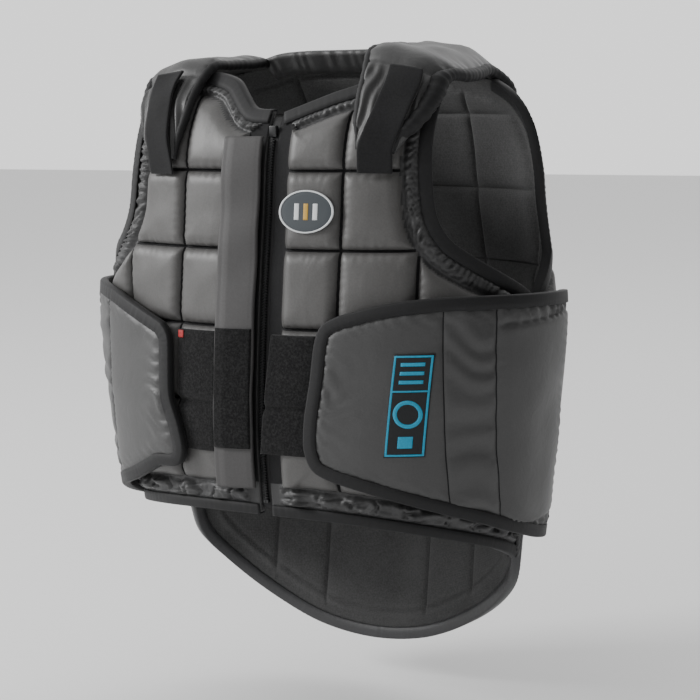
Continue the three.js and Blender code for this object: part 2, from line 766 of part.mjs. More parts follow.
formStrip('loop_patch_placket', 'loop', {
  us: [1.5, 9, 19, 29, placketWidth - 1].map((u) => placketEdge + u),
  zs: span(patchTop + 2, patchBottom + 3, 3),
  bottom: (u) => placketTop(u) + clear,
  top: (u) => placketTop(u) + clear + patchThickness,
});

// Thin piece with any outline, laid on the form
function formPatch(name, look, outline, bottom, top) {
  const solid = new Solid();
  const at = ([u, z], out) => formPoint(u, z, out);
  earClip(outline).forEach((corners) => {
    const [a, b, c] = corners.map((k) => outline[k]);
    solid.triangle(at(a, top), at(b, top), at(c, top));
    solid.triangle(at(c, bottom), at(b, bottom), at(a, bottom));
  });
  outline.forEach((point, k) => {
    const next = outline[(k + 1) % outline.length];
    solid.quad(at(point, bottom), at(next, bottom), at(next, top), at(point, top));
  });
  return solid.build(name, look);
}

formStrip('side_label', 'label', {
  us: span(labelAt - labelWidth / 2, labelAt + labelWidth / 2, 2),
  zs: span(-labelTop, -labelTop - labelHeight, 3),
  bottom: flapLiftLeft + flapRise - 0.5,
  top: flapLiftLeft + flapRise - 0.5 + trimThickness,
  slant: (z) => (z + labelTop) * 0.11,
});
const badgeMiddle = [leftFrontEdge + 38, -firstRow - rowHeight / 2];
formPatch('chest_badge', 'badge', Array.from({ length: 24 }, (_, k) => [
  badgeMiddle[0] + (badgeWidth / 2) * Math.cos((Math.PI * k) / 12),
  badgeMiddle[1] + (badgeHeight / 2) * Math.sin((Math.PI * k) / 12),
]), onBlocks, onBlocks + trimThickness);
const tabCorner = [-76, patchTop - 2.5];
const tabOutline = [[0, 0], [6, 0], [6, -6], [0, -6]];
formPatch('corner_tab', 'tab', tabOutline.map(([u, z]) => [tabCorner[0] + u, tabCorner[1] + z]),
  onBlocks + patchThickness + clear, onBlocks + patchThickness + clear + 0.8);

// Shoulder pads: stations from the front tongue over the shoulder to the back. Each has its middle, share
// of the half width, the turn of its width round Z and down at the outer end (degrees), its crown and its
// share of the thickness.
const padOut = blockRise + 1.8;
const padSeat = 4;
const padAt = (share) => padMiddle + share * chestHalfWidth * 0.914;
const padStations = [
  [formPoint(padAt(-0.129), -74, padOut), 0.42, 15, 0, 0.5, 0.5],
  [formPoint(padAt(-0.113), -61, padOut), 0.55, 15, 2, 1, 0.7],
  [formPoint(padAt(-0.086), -40, padOut), 0.76, 14, 4, 2, 0.85],
  [formPoint(padAt(-0.071), -19, padOut), 0.87, 12, 6, 3, 0.95],
  [new THREE.Vector3(padAt(-0.067), -frontDepth * 0.393, padSeat - 5), 0.93, 5, 9, 4, 1],
  [new THREE.Vector3(padAt(-0.055), -frontDepth * 0.164, padSeat - 3.5), 0.96, 0, 10, 5, 1],
  [new THREE.Vector3(padAt(-0.06), backDepth * 0.083, padSeat - 3.5), 0.92, -2, 10, 5, 1],
  [new THREE.Vector3(padAt(-0.068), backDepth * 0.35, padSeat - 4.5), 0.86, -8, 9, 4, 1],
  [formPoint(padAt(-0.035), -20, padOut + 2, true), 0.8, -13, 6, 3, 0.95],
  [formPoint(padAt(-0.035), -40, padOut, true), 0.72, -14, 4, 2, 0.85],
  [formPoint(padAt(-0.04), -62, padOut, true), 0.62, -14, 2, 1, 0.6],
];

function padFrames(stations) {
  return stations.map(([middle, half, turn, tip, crown, thick], k) => {
    const before = stations[Math.max(k - 1, 0)][0];
    const after = stations[Math.min(k + 1, stations.length - 1)][0];
    const travel = after.clone().sub(before).normalize();
    const [a, b] = [THREE.MathUtils.degToRad(turn), THREE.MathUtils.degToRad(tip)];
    const across = new THREE.Vector3(Math.cos(a) * Math.cos(b), Math.sin(a) * Math.cos(b), -Math.sin(b));
    const up = new THREE.Vector3().crossVectors(across, travel).normalize();
    return { middle, across, up, half: half * padHalfWidth, crown, thick: thick * padThickness };
  });
}

const frames = padFrames(padStations);
const padSection = [
  [-1, 0.45], [-0.93, 0.85], [-0.72, 1], [0, 1], [0.72, 1], [0.93, 0.85], [1, 0.45],
  [0.9, 0], [0.45, 0], [-0.45, 0], [-0.9, 0],
];
const placeOn = ({ middle, across, up, crown }, side, share, half, height) => {
  const point = middle.clone().addScaledVector(across, share * half);
  point.addScaledVector(up, height - crown * share * share);
  point.x *= side;
  return point;
};
[[1, 'left'], [-1, 'right']].forEach(([side, word]) => {
  loft(`shoulder_pad_${word}`, 'satin', frames.map((frame) => padSection.map(([share, height]) => (
    placeOn(frame, side, share, frame.half, height * frame.thick)))));
  const strapFrames = [
    { ...frames[0], middle: formPoint(padAt(-0.129), -91, blockRise + 1), thick: 0 },
    { ...frames[0], middle: formPoint(padAt(-0.129), -83, blockRise + 4), thick: 0 },
    ...frames.slice(0, 4),
    { ...frames[4], middle: frames[3].middle.clone().lerp(frames[4].middle, 0.4) },
  ];
  loft(`shoulder_strap_${word}`, 'strap', strapFrames.map((frame) => {
    const base = frame.thick + 0.8;
    const top = base + strapThickness;
    return [[-1, base], [-1, top], [1, top], [1, base]].map(([share, height]) => (
      placeOn({ ...frame, crown: 0 }, side, share, strapHalfWidth, height)));
  }));
});

export default object;
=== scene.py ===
"""Equestrian body protector: quilted foam panels in grey satin nylon, shown as worn, with a front zip."""
import math

import bmesh
import bpy
import numpy as np
from mathutils import Matrix, Vector


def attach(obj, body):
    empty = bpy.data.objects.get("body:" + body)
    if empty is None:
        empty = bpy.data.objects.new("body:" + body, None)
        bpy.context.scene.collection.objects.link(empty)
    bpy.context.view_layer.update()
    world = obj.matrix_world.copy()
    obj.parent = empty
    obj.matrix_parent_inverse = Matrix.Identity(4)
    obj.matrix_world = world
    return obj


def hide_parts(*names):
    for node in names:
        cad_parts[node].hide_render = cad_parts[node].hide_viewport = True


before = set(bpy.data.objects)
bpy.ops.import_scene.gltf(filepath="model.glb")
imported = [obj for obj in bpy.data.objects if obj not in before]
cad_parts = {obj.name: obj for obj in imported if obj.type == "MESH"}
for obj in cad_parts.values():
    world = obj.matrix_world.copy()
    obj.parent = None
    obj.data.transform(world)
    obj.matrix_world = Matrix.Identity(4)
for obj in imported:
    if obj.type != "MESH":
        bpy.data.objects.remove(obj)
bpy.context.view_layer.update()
for block in (bpy.data.lights, bpy.data.cameras):
    for item in list(block):
        block.remove(item)

MM = 0.001

# The body form, in millimetres, with the same sizes as the solids.
CHEST_HALF_WIDTH = 209.0
FRONT_DEPTH = 122.0
BACK_DEPTH = 120.0
FORM_HEIGHT = 520.0
FORM_POWER = 2.3
FORM_TABLE = [
    (0.000, 0.852, 0.377, 0.433),
    (0.115, 0.947, 0.689, 0.717),
    (0.250, 0.971, 0.795, 0.825),
    (0.423, 1.000, 0.910, 0.983),
    (0.615, 0.947, 0.992, 1.000),
    (0.769, 0.900, 0.967, 0.833),
    (1.000, 0.842, 0.959, 0.642),
]

WEB = 2.5
BLOCK_RISE = 13.0
BLOCK_UNDER = 7.0
BINDING_LEG = 9.0
EDGE_FLANGE = 19.0
ARMHOLE_FLANGE = 25.0
HEM_BAND = 27.0
ZIP_AT = 8.0
ZIP_HALF = 6.0
SIDE_AT = 262.0
SIDE_GAP = 8.0
HEM_DROP = 391.0
HEM_SIDE_DROP = 444.0
NECK_DROP = 44.0
BACK_SEAM = 405.0
TAIL_DROP = 556.0
ARMHOLE_FRONT = 156.0
ARMHOLE_BACK = 222.0
BACK_NECK_RISE = 4.0
BACK_NECK_HALF = 84.0
ARMHOLE_BOTTOM = 204.0
FLAP_LIFT_LEFT = 20.9
FLAP_LIFT_RIGHT = 19.9
FLAP_END = 300.0
PLACKET_EDGE = ZIP_AT - 37 - 5


def smooth_table(share, column):
    """Smooth value of one column of the form table at each share."""
    xs = np.array([row[0] for row in FORM_TABLE])
    ys = np.array([row[column] for row in FORM_TABLE])
    slopes = np.empty(len(xs))
    slopes[0] = (ys[1] - ys[0]) / (xs[1] - xs[0])
    slopes[-1] = (ys[-1] - ys[-2]) / (xs[-1] - xs[-2])
    slopes[1:-1] = (ys[2:] - ys[:-2]) / (xs[2:] - xs[:-2])
    k = np.clip(np.searchsorted(xs, share) - 1, 0, len(xs) - 2)
    span = xs[k + 1] - xs[k]
    t = (share - xs[k]) / span
    inside = np.clip(t, 0, 1)
    t2 = inside ** 2
    t3 = inside ** 3
    value = (2 * t3 - 3 * t2 + 1) * ys[k] + (t3 - 2 * t2 + inside) * span * slopes[k]
    value += (3 * t2 - 2 * t3) * ys[k + 1] + (t3 - t2) * span * slopes[k + 1]
    below = np.where(t < 0, slopes[0] * (share - xs[0]), 0)
    beyond = np.where(t > 1, slopes[-1] * (share - xs[-1]), 0)
    return value + below + beyond


class Form:
    """The body form as a fine table: rows by height, columns by share of the half girth."""

    def __init__(self):
        self.heights = np.arange(60.0, -621.0, -2.0)
        share = -self.heights / FORM_HEIGHT
        half_width = CHEST_HALF_WIDTH * smooth_table(share, 1)
        front = FRONT_DEPTH * smooth_table(share, 2)
        back = BACK_DEPTH * smooth_table(share, 3)
        angle = np.linspace(0, math.pi, 257)
        power = 2 / FORM_POWER
        x = half_width[:, None] * np.abs(np.sin(angle)) ** power
        depth = np.where(np.cos(angle) > 0, -front[:, None], back[:, None])
        y = depth * np.abs(np.cos(angle)) ** power
        step = np.hypot(np.diff(x, axis=1), np.diff(y, axis=1))
        length = np.concatenate([np.zeros((len(x), 1)), np.cumsum(step, axis=1)], axis=1)
        self.half_girths = length[:, -1]
        self.count = 400
        even = np.linspace(0, 1, self.count + 1)
        self.x = np.array([np.interp(even, l / l[-1], row) for l, row in zip(length, x)])
        self.y = np.array([np.interp(even, l / l[-1], row) for l, row in zip(length, y)])
        tx = np.gradient(self.x, axis=1)
        ty = np.gradient(self.y, axis=1)
        size = np.hypot(tx, ty)
        self.nx = ty / size
        self.ny = -tx / size
        self.nx[:, 0] = 0
        self.nx[:, -1] = 0

    def half_girth(self, z):
        return np.interp(-np.asarray(z, float), -self.heights, self.half_girths)

    def at(self, u, z, out=0.0, back=False):
        """Points of the form: u round it from the middle front or back, z the height, out outwards."""
        u, z, out = np.broadcast_arrays(np.asarray(u, float), np.asarray(z, float), np.asarray(out, float))
        row = np.clip((self.heights[0] - z) / 2.0, 0, len(self.heights) - 1.001)
        half = self.half_girth(z)
        share = np.clip(np.abs(u) / half, 0, 1)
        if back:
            share = 1 - share
        column = np.clip(share * self.count, 0, self.count - 0.001)
        r0 = row.astype(int)
        c0 = column.astype(int)
        fr = row - r0
        fc = column - c0

        def look(table):
            top = table[r0, c0] * (1 - fc) + table[r0, c0 + 1] * fc
            low = table[r0 + 1, c0] * (1 - fc) + table[r0 + 1, c0 + 1] * fc
            return top * (1 - fr) + low * fr

        x = look(self.x) + look(self.nx) * out
        y = look(self.y) + look(self.ny) * out
        return np.stack([np.where(u < 0, -x, x), y, z], axis=-1)


FORM = Form()


def wave(u, v, seed, scale):
    """Smooth unseen noise, about -1 to 1, from a few fixed waves of about one scale in millimetres."""
    rng = np.random.default_rng(seed)
    total = np.zeros(np.broadcast(u, v).shape)
    for _ in range(7):
        turn = rng.uniform(0, 2 * math.pi)
        size = scale * rng.uniform(0.7, 1.5)
        phase = rng.uniform(0, 2 * math.pi)
        total = total + np.sin((u * math.cos(turn) + v * math.sin(turn)) * 2 * math.pi / size + phase)
    return total / 3.2


def through(points, spacing=2.0):
    """Even points along a smooth curve through the given ones (centripetal)."""
    p = np.array(points, float)
    if len(p) == 2:
        count = max(int(round(np.hypot(*(p[1] - p[0])) / spacing)), 1)
        return p[0] + (p[1] - p[0]) * np.linspace(0, 1, count + 1)[:, None]
    ends = np.vstack([2 * p[0] - p[1], p, 2 * p[-1] - p[-2]])
    fine = []
    for a, b, c, d in zip(ends, ends[1:], ends[2:], ends[3:]):
        t1 = np.hypot(*(b - a)) ** 0.5
        t2 = t1 + np.hypot(*(c - b)) ** 0.5
        t3 = t2 + np.hypot(*(d - c)) ** 0.5
        t = np.linspace(t1, t2, 24, endpoint=False)[:, None]
        a1 = (t1 - t) / t1 * a + t / t1 * b
        a2 = (t2 - t) / (t2 - t1) * b + (t - t1) / (t2 - t1) * c
        a3 = (t3 - t) / (t3 - t2) * c + (t - t2) / (t3 - t2) * d
        b1 = (t2 - t) / t2 * a1 + t / t2 * a2
        b2 = (t3 - t) / (t3 - t1) * a2 + (t - t1) / (t3 - t1) * a3
        fine.append((t2 - t) / (t2 - t1) * b1 + (t - t1) / (t2 - t1) * b2)
    fine = np.vstack(fine + [p[-1:]])
    run = np.concatenate([[0], np.cumsum(np.hypot(*np.diff(fine, axis=0).T))])
    count = max(int(round(run[-1] / spacing)), 1)
    even = np.linspace(0, run[-1], count + 1)
    return np.stack([np.interp(even, run, fine[:, 0]), np.interp(even, run, fine[:, 1])], axis=1)


class Outline:
    """A closed outline in the flat, made of arcs; each arc has the width of its plain margin."""

    def __init__(self, arcs):
        points = []
        margins = []
        names = []
        for name, shape, margin in arcs:
            run = through(shape)
            share = np.linspace(0, 1, len(run))[:-1]
            points.append(run[:-1])
            margins.append(np.array([margin(s) if callable(margin) else margin for s in share], float))
            names += [name] * len(share)
        self.points = np.vstack(points)
        self.margins = np.concatenate(margins)
        self.names = np.array(names)
        after = np.roll(self.points, -1, axis=0)
        self.area = np.sum(self.points[:, 0] * after[:, 1] - after[:, 0] * self.points[:, 1]) / 2
        self.run = np.concatenate([[0], np.cumsum(np.hypot(*(after - self.points).T))])[:-1]

    def nearest(self, u, z):
        """For every point: signed distance inside the outline, place along it, margin and closest point."""
        p = np.stack([u, z], axis=-1)
        after = np.roll(self.points, -1, axis=0)
        best = np.full(len(p), 1e9)
        place = np.zeros(len(p))
        margin = np.zeros(len(p))
        closest = np.zeros(p.shape)
        crossings = np.zeros(len(p), int)
        for k, (a, b) in enumerate(zip(self.points, after)):
            ab = b - a
            t = np.clip(((p - a) @ ab) / (ab @ ab), 0, 1)
            d = np.hypot(*(p - a - t[:, None] * ab).T)
            closer = d < best
            best = np.where(closer, d, best)
            place = np.where(closer, self.run[k] + t * np.hypot(*ab), place)
            margin = np.where(closer, self.margins[k], margin)
            closest = np.where(closer[:, None], a + t[:, None] * ab, closest)
            straddles = (a[1] > p[:, 1]) != (b[1] > p[:, 1])
            if straddles.any():
                at = a[0] + (p[:, 1] - a[1]) / (b[1] - a[1] + 1e-12) * ab[0]
                crossings += straddles & (p[:, 0] < at)
        return np.where(crossings % 2 == 1, best, -best), place, margin, closest

    def stations(self, names, spacing=4.0):
        """Points of the named arcs with their inward directions, evenly spaced, in order."""
        keep = np.isin(self.names, names)
        count = len(self.points)
        first = next(k for k in range(count) if keep[k] and not keep[k - 1]) if not keep.all() else 0
        order = [(first + k) % count for k in range(count) if keep[(first + k) % count]]
        order.append((order[-1] + 1) % count)
        p = self.points[order]
        run = np.concatenate([[0], np.cumsum(np.hypot(*np.diff(p, axis=0).T))])
        even = np.linspace(0, run[-1], max(int(round(run[-1] / spacing)), 2) + 1)
        q = np.stack([np.interp(even, run, p[:, k]) for k in (0, 1)], axis=1)
        tangent = np.gradient(q, axis=0)
        tangent /= np.hypot(*tangent.T)[:, None]
        for _ in range(2):
            middle = tangent[1:-1] * 2 + tangent[:-2] + tangent[2:]
            tangent[1:-1] = middle / np.hypot(*middle.T)[:, None]
        turn = 1 if self.area > 0 else -1
        return q, np.stack([-tangent[:, 1], tangent[:, 0]], axis=1) * turn, even


# Mesh helpers

def finish_mesh(bm, name, materials, smooth=True):
    """Turns a bmesh into a piece of the scene, smooth shaded unless told otherwise."""
    mesh = bpy.data.meshes.new(name)
    bm.to_mesh(mesh)
    bm.free()
    for material in materials:
        mesh.materials.append(material)
    if smooth:
        mesh.polygons.foreach_set("use_smooth", [True] * len(mesh.polygons))
    piece = bpy.data.objects.new(name, mesh)
    bpy.context.scene.collection.objects.link(piece)
    return piece


def flat_grid(nu, nv):
    """A grid from a bmesh operator and its (i, j) shares, both from 0 to 1."""
    bm = bmesh.new()
    bmesh.ops.create_grid(bm, x_segments=nu, y_segments=nv, size=0.5)
    bm.verts.ensure_lookup_table()
    co = np.array([vert.co[:2] for vert in bm.verts]) + 0.5
    return bm, co[:, 0], co[:, 1]


def swept(name, materials, place, along, around, closed=False):
    """A solid swept from a closed section: place(share along, share around) gives points in millimetres."""
    bm, s, t = flat_grid(along, around)
    for vert, point in zip(bm.verts, place(s, t)):
        vert.co = Vector(point) * MM
    bmesh.ops.remove_doubles(bm, verts=bm.verts, dist=0.00002)
    if not closed:
        edges = [edge for edge in bm.edges if len(edge.link_faces) == 1]
        bmesh.ops.holes_fill(bm, edges=edges, sides=0)
    bmesh.ops.recalc_face_normals(bm, faces=bm.faces)
    return finish_mesh(bm, name, materials)


def dress(piece, nodes):
    """Ties a piece to the frame and hides the solids it stands for."""
    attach(piece, "root")
    if nodes:
        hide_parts(*nodes)
    return piece


# Materials

def linear(code):
    """An sRGB hex colour as linear values."""
    parts = [int(code[k:k + 2], 16) / 255 for k in (0, 2, 4)]
    return tuple(c / 12.92 if c <= 0.04045 else ((c + 0.055) / 1.055) ** 2.4 for c in parts) + (1.0,)


def new_material(name):
    material = bpy.data.materials.new(name)
    material.use_nodes = True
    nodes = material.node_tree.nodes
    nodes.clear()
    shader = nodes.new("ShaderNodeBsdfPrincipled")
    output = nodes.new("ShaderNodeOutputMaterial")
    material.node_tree.links.new(shader.outputs[0], output.inputs[0])
    return material, shader


def add(material, kind, settings=None, **links):
    """Adds one node: settings are its properties or socket values, links name sockets and what feeds them."""
    node = material.node_tree.nodes.new(kind)
    for key, value in (settings or {}).items():
        if hasattr(node, key):
            setattr(node, key, value)
        else:
            node.inputs[int(key) if key.isdigit() else key].default_value = value
    for key, source in links.items():
        numbered = key[0] == "_" and key[1:].isdigit()
        socket = int(key[1:]) if numbered else key.replace("_", " ")
        material.node_tree.links.new(source, node.inputs[socket])
    return node


def join(material, source, shader, socket):
    material.node_tree.links.new(source, shader.inputs[socket])


def cloth(name, colour, shade, roughness, thread, weave_depth, crease_depth,
          sheen=0.0, specular=0.5, crease=14.0, stretch=1.0):
    """Woven cloth: two crossed thread waves, cloudy colour and soft creases. Sizes in millimetres."""
    material, shader = new_material(name)
    where = add(material, "ShaderNodeTexCoord")
    place = where.outputs["Object"]
    cloud = add(material, "ShaderNodeTexNoise", {"Scale": 1000 / 60, "Detail": 4.0}, Vector=place)
    fleck = add(material, "ShaderNodeTexNoise", {"Scale": 1000 / 1.6, "Detail": 2.0}, Vector=place)
    blend = add(material, "ShaderNodeMath", {"operation": "ADD"},
                _0=cloud.outputs["Fac"], _1=fleck.outputs["Fac"])
    spread = add(material, "ShaderNodeMapRange", {"From Min": 0.7, "From Max": 1.3}, Value=blend.outputs[0])
    tint = add(material, "ShaderNodeMix", {"data_type": "RGBA", "6": linear(shade), "7": linear(colour)},
               _0=spread.outputs[0])
    join(material, tint.outputs[2], shader, "Base Color")
    bands = {"Scale": 1000 / thread / 6.283 * 2, "Distortion": 0.6, "Detail Scale": 2.0}
    warp = add(material, "ShaderNodeTexWave", {"bands_direction": "X", **bands}, Vector=place)
    weft = add(material, "ShaderNodeTexWave", {"bands_direction": "Z", **bands}, Vector=place)
    threads = add(material, "ShaderNodeMath", {"operation": "MULTIPLY"},
                  _0=warp.outputs["Fac"], _1=weft.outputs["Fac"])
    fine = add(material, "ShaderNodeBump", {"Strength": 0.6, "Distance": weave_depth * MM},
               Height=threads.outputs[0])
    drawn = add(material, "ShaderNodeMapping", {"Scale": (1.0, 1.0, stretch)}, Vector=place)
    folds = add(material, "ShaderNodeTexNoise", {"Scale": 1000 / crease, "Detail": 3.0, "Distortion": 0.7},
                Vector=drawn.outputs[0])
    soft = add(material, "ShaderNodeBump", {"Strength": 0.7, "Distance": crease_depth * MM},
               Height=folds.outputs["Fac"], Normal=fine.outputs[0])
    join(material, soft.outputs[0], shader, "Normal")
    rough = add(material, "ShaderNodeMapRange", {"To Min": roughness - 0.06, "To Max": roughness + 0.08},
                Value=cloud.outputs["Fac"])
    join(material, rough.outputs[0], shader, "Roughness")
    shader.inputs["Sheen Weight"].default_value = sheen
    shader.inputs["Sheen Roughness"].default_value = 0.5
    shader.inputs["Specular IOR Level"].default_value = specular
    return material


# Satin-faced nylon over foam: a close weave with a soft shine that lights up on every crease.
SATIN = cloth("satin_nylon_grey", "4e4d4c", "444342", 0.45, 0.9, 0.06, 0.6, sheen=0.05, specular=0.5,
              crease=16.0, stretch=0.35)
# The gathered margins are the same satin where it bunches in small close creases, painted darker as shade of
# those creases.
SATIN_GATHER_PAINTED_SHADE = cloth("satin_nylon_gathered_painted_shade", "363636", "29292a", 0.5, 0.9, 0.04, 0.6, sheen=0.03,
                     specular=0.5, crease=9.0)
# Inside lining: knitted polyester mesh, near black, with small open cells.
LINING = cloth("polyester_mesh_lining", "4b4b4b", "343434", 0.8, 1.6, 0.25, 0.4, sheen=0.08, specular=0.3)
# Edge tape: plain-weave nylon, charcoal, folded over the edge.
TAPE = cloth("nylon_edge_tape", "1c1c1d", "151516", 0.62, 0.8, 0.08, 0.3, sheen=0.04, specular=0.3)
# Sewing thread, with painted shade for the dark bottom of the seams: charcoal.
THREAD_AND_SEAM_SHADE = cloth("seam_thread_and_painted_shade", "232324", "171718", 0.75, 0.9, 0.05, 0.1, specular=0.2)
# Zip guard: plain nylon cloth, flatter and duller than the satin.
GUARD = cloth("plain_nylon_guard", "4a4949", "424141", 0.62, 0.9, 0.06, 0.2, specular=0.4)
# Edge tape of the tail: the dark satin of the facing, with a soft shine.
TAIL_TAPE = cloth("satin_edge_tape", "38383a", "2d2d2e", 0.42, 0.8, 0.06, 0.4, sheen=0.04, specular=0.5)
# Wrap flaps: the same satin laminated to thin foam, darker and duller than the blocks.
FLAP_SATIN = cloth("satin_flap_laminate", "3c3c3c", "353535", 0.46, 0.9, 0.04, 0.5, sheen=0.04, specular=0.5)
# Shoulder pads and the neck roll: satin a shade darker than the blocks, loosely filled.
PAD_SATIN = cloth("satin_pad_cover", "363636", "2d2d2d", 0.48, 0.9, 0.05, 0.8, sheen=0.04, specular=0.5)
# Shoulder straps: brushed black webbing, matt.
STRAP_CLOTH = cloth("brushed_strap_black", "202021", "151516", 0.9, 1.2, 0.12, 0.3, sheen=0.1, specular=0.2)


def pile_cloth(name, colour, shade):
    """Brushed loops: no threads to be seen, only tufts and pale fibre tips about a millimetre apart."""
    material, shader = new_material(name)
    where = add(material, "ShaderNodeTexCoord")
    place = where.outputs["Object"]
    tufts = add(material, "ShaderNodeTexNoise", {"Scale": 1000 / 2.2, "Detail": 5.0, "Roughness": 0.75},
                Vector=place)
    spread = add(material, "ShaderNodeMapRange", {"From Min": 0.42, "From Max": 0.74},
                 Value=tufts.outputs["Fac"])
    tint = add(material, "ShaderNodeMix", {"data_type": "RGBA", "6": linear(shade), "7": linear(colour)},
               _0=spread.outputs[0])
    join(material, tint.outputs[2], shader, "Base Color")
    raised = add(material, "ShaderNodeBump", {"Strength": 0.8, "Distance": 0.6 * MM},
                 Height=tufts.outputs["Fac"])
    join(material, raised.outputs[0], shader, "Normal")
    shader.inputs["Roughness"].default_value = 0.95
    shader.inputs["Sheen Weight"].default_value = 0.12
    shader.inputs["Specular IOR Level"].default_value = 0.15
    return material


# Hook-and-loop pile: near black, with pale fibre tips.
PILE = pile_cloth("hook_and_loop_pile", "2c2c2c", "0b0b0c")
# Woven label: a close flat weave, near black, with cyan figures; the tab is red tape.
LABEL = cloth("woven_label_black", "14171a", "0e1012", 0.6, 0.7, 0.06, 0.1, specular=0.4)
CYAN = cloth("woven_label_cyan", "1595b8", "1185a6", 0.6, 0.7, 0.06, 0.1, specular=0.4)
RED = cloth("woven_tab_red", "b02a2a", "962222", 0.6, 0.7, 0.06, 0.1)


def plastic(name, colour, roughness, grain=0.4):
    """Moulded plastic: one colour, with the fine grain that the mould leaves."""
    material, shader = new_material(name)
    place = add(material, "ShaderNodeTexCoord").outputs["Object"]
    specks = add(material, "ShaderNodeTexNoise", {"Scale": 1000 / grain, "Detail": 2.0}, Vector=place)
    tone = add(material, "ShaderNodeMix", {"data_type": "RGBA", "6": linear(colour),
                                           "7": tuple(0.8 * c for c in linear(colour)[:3]) + (1.0,)},
               _0=specks.outputs["Fac"])
    join(material, tone.outputs[2], shader, "Base Color")
    bump = add(material, "ShaderNodeBump", {"Strength": 0.4, "Distance": 0.03 * MM},
               Height=specks.outputs["Fac"])
    join(material, bump.outputs[0], shader, "Normal")
    shader.inputs["Roughness"].default_value = roughness
    return material


# Zip teeth and slider: black acetal with a dull shine.
ACETAL = plastic("acetal_zip_teeth", "1b1c1d", 0.4)
# Badge: soft moulded rubber, slate with white and gold parts.
RUBBER = plastic("moulded_badge_slate", "343b40", 0.5)
RIM = plastic("moulded_badge_white", "d9dcdd", 0.45)
GOLD = plastic("moulded_badge_gold", "c39a3f", 0.5)


# Quilted panels

def grid_lines(low, high, seams, step, beside):
    """Grid lines from low to high, with one on each seam and one close on each side of it."""
    stops = {low, high}
    for seam in seams:
        stops.update(stop for stop in (seam - beside, seam, seam + beside) if low < stop < high)
    stops = sorted(stops)
    lines = []
    for a, b in zip(stops, stops[1:]):
        lines.append(np.linspace(a, b, max(int(round((b - a) / step)), 1), endpoint=False))
    return np.concatenate(lines + [[high]])


def seam_distance(at, seams):
    """How far each place is from the nearest of the seams; far off where there are none."""
    if not seams:
        return np.full(len(at), 99.0)
    return np.min([np.abs(at - seam) for seam in seams], axis=0)


def swell(inside, width, power=2.4):
    """Rounded rise from 0 at an edge to 1 at one width inside it."""
    t = np.clip(inside / width, 0, 1)
    return (1 - (1 - t) ** power) ** (1 / power)


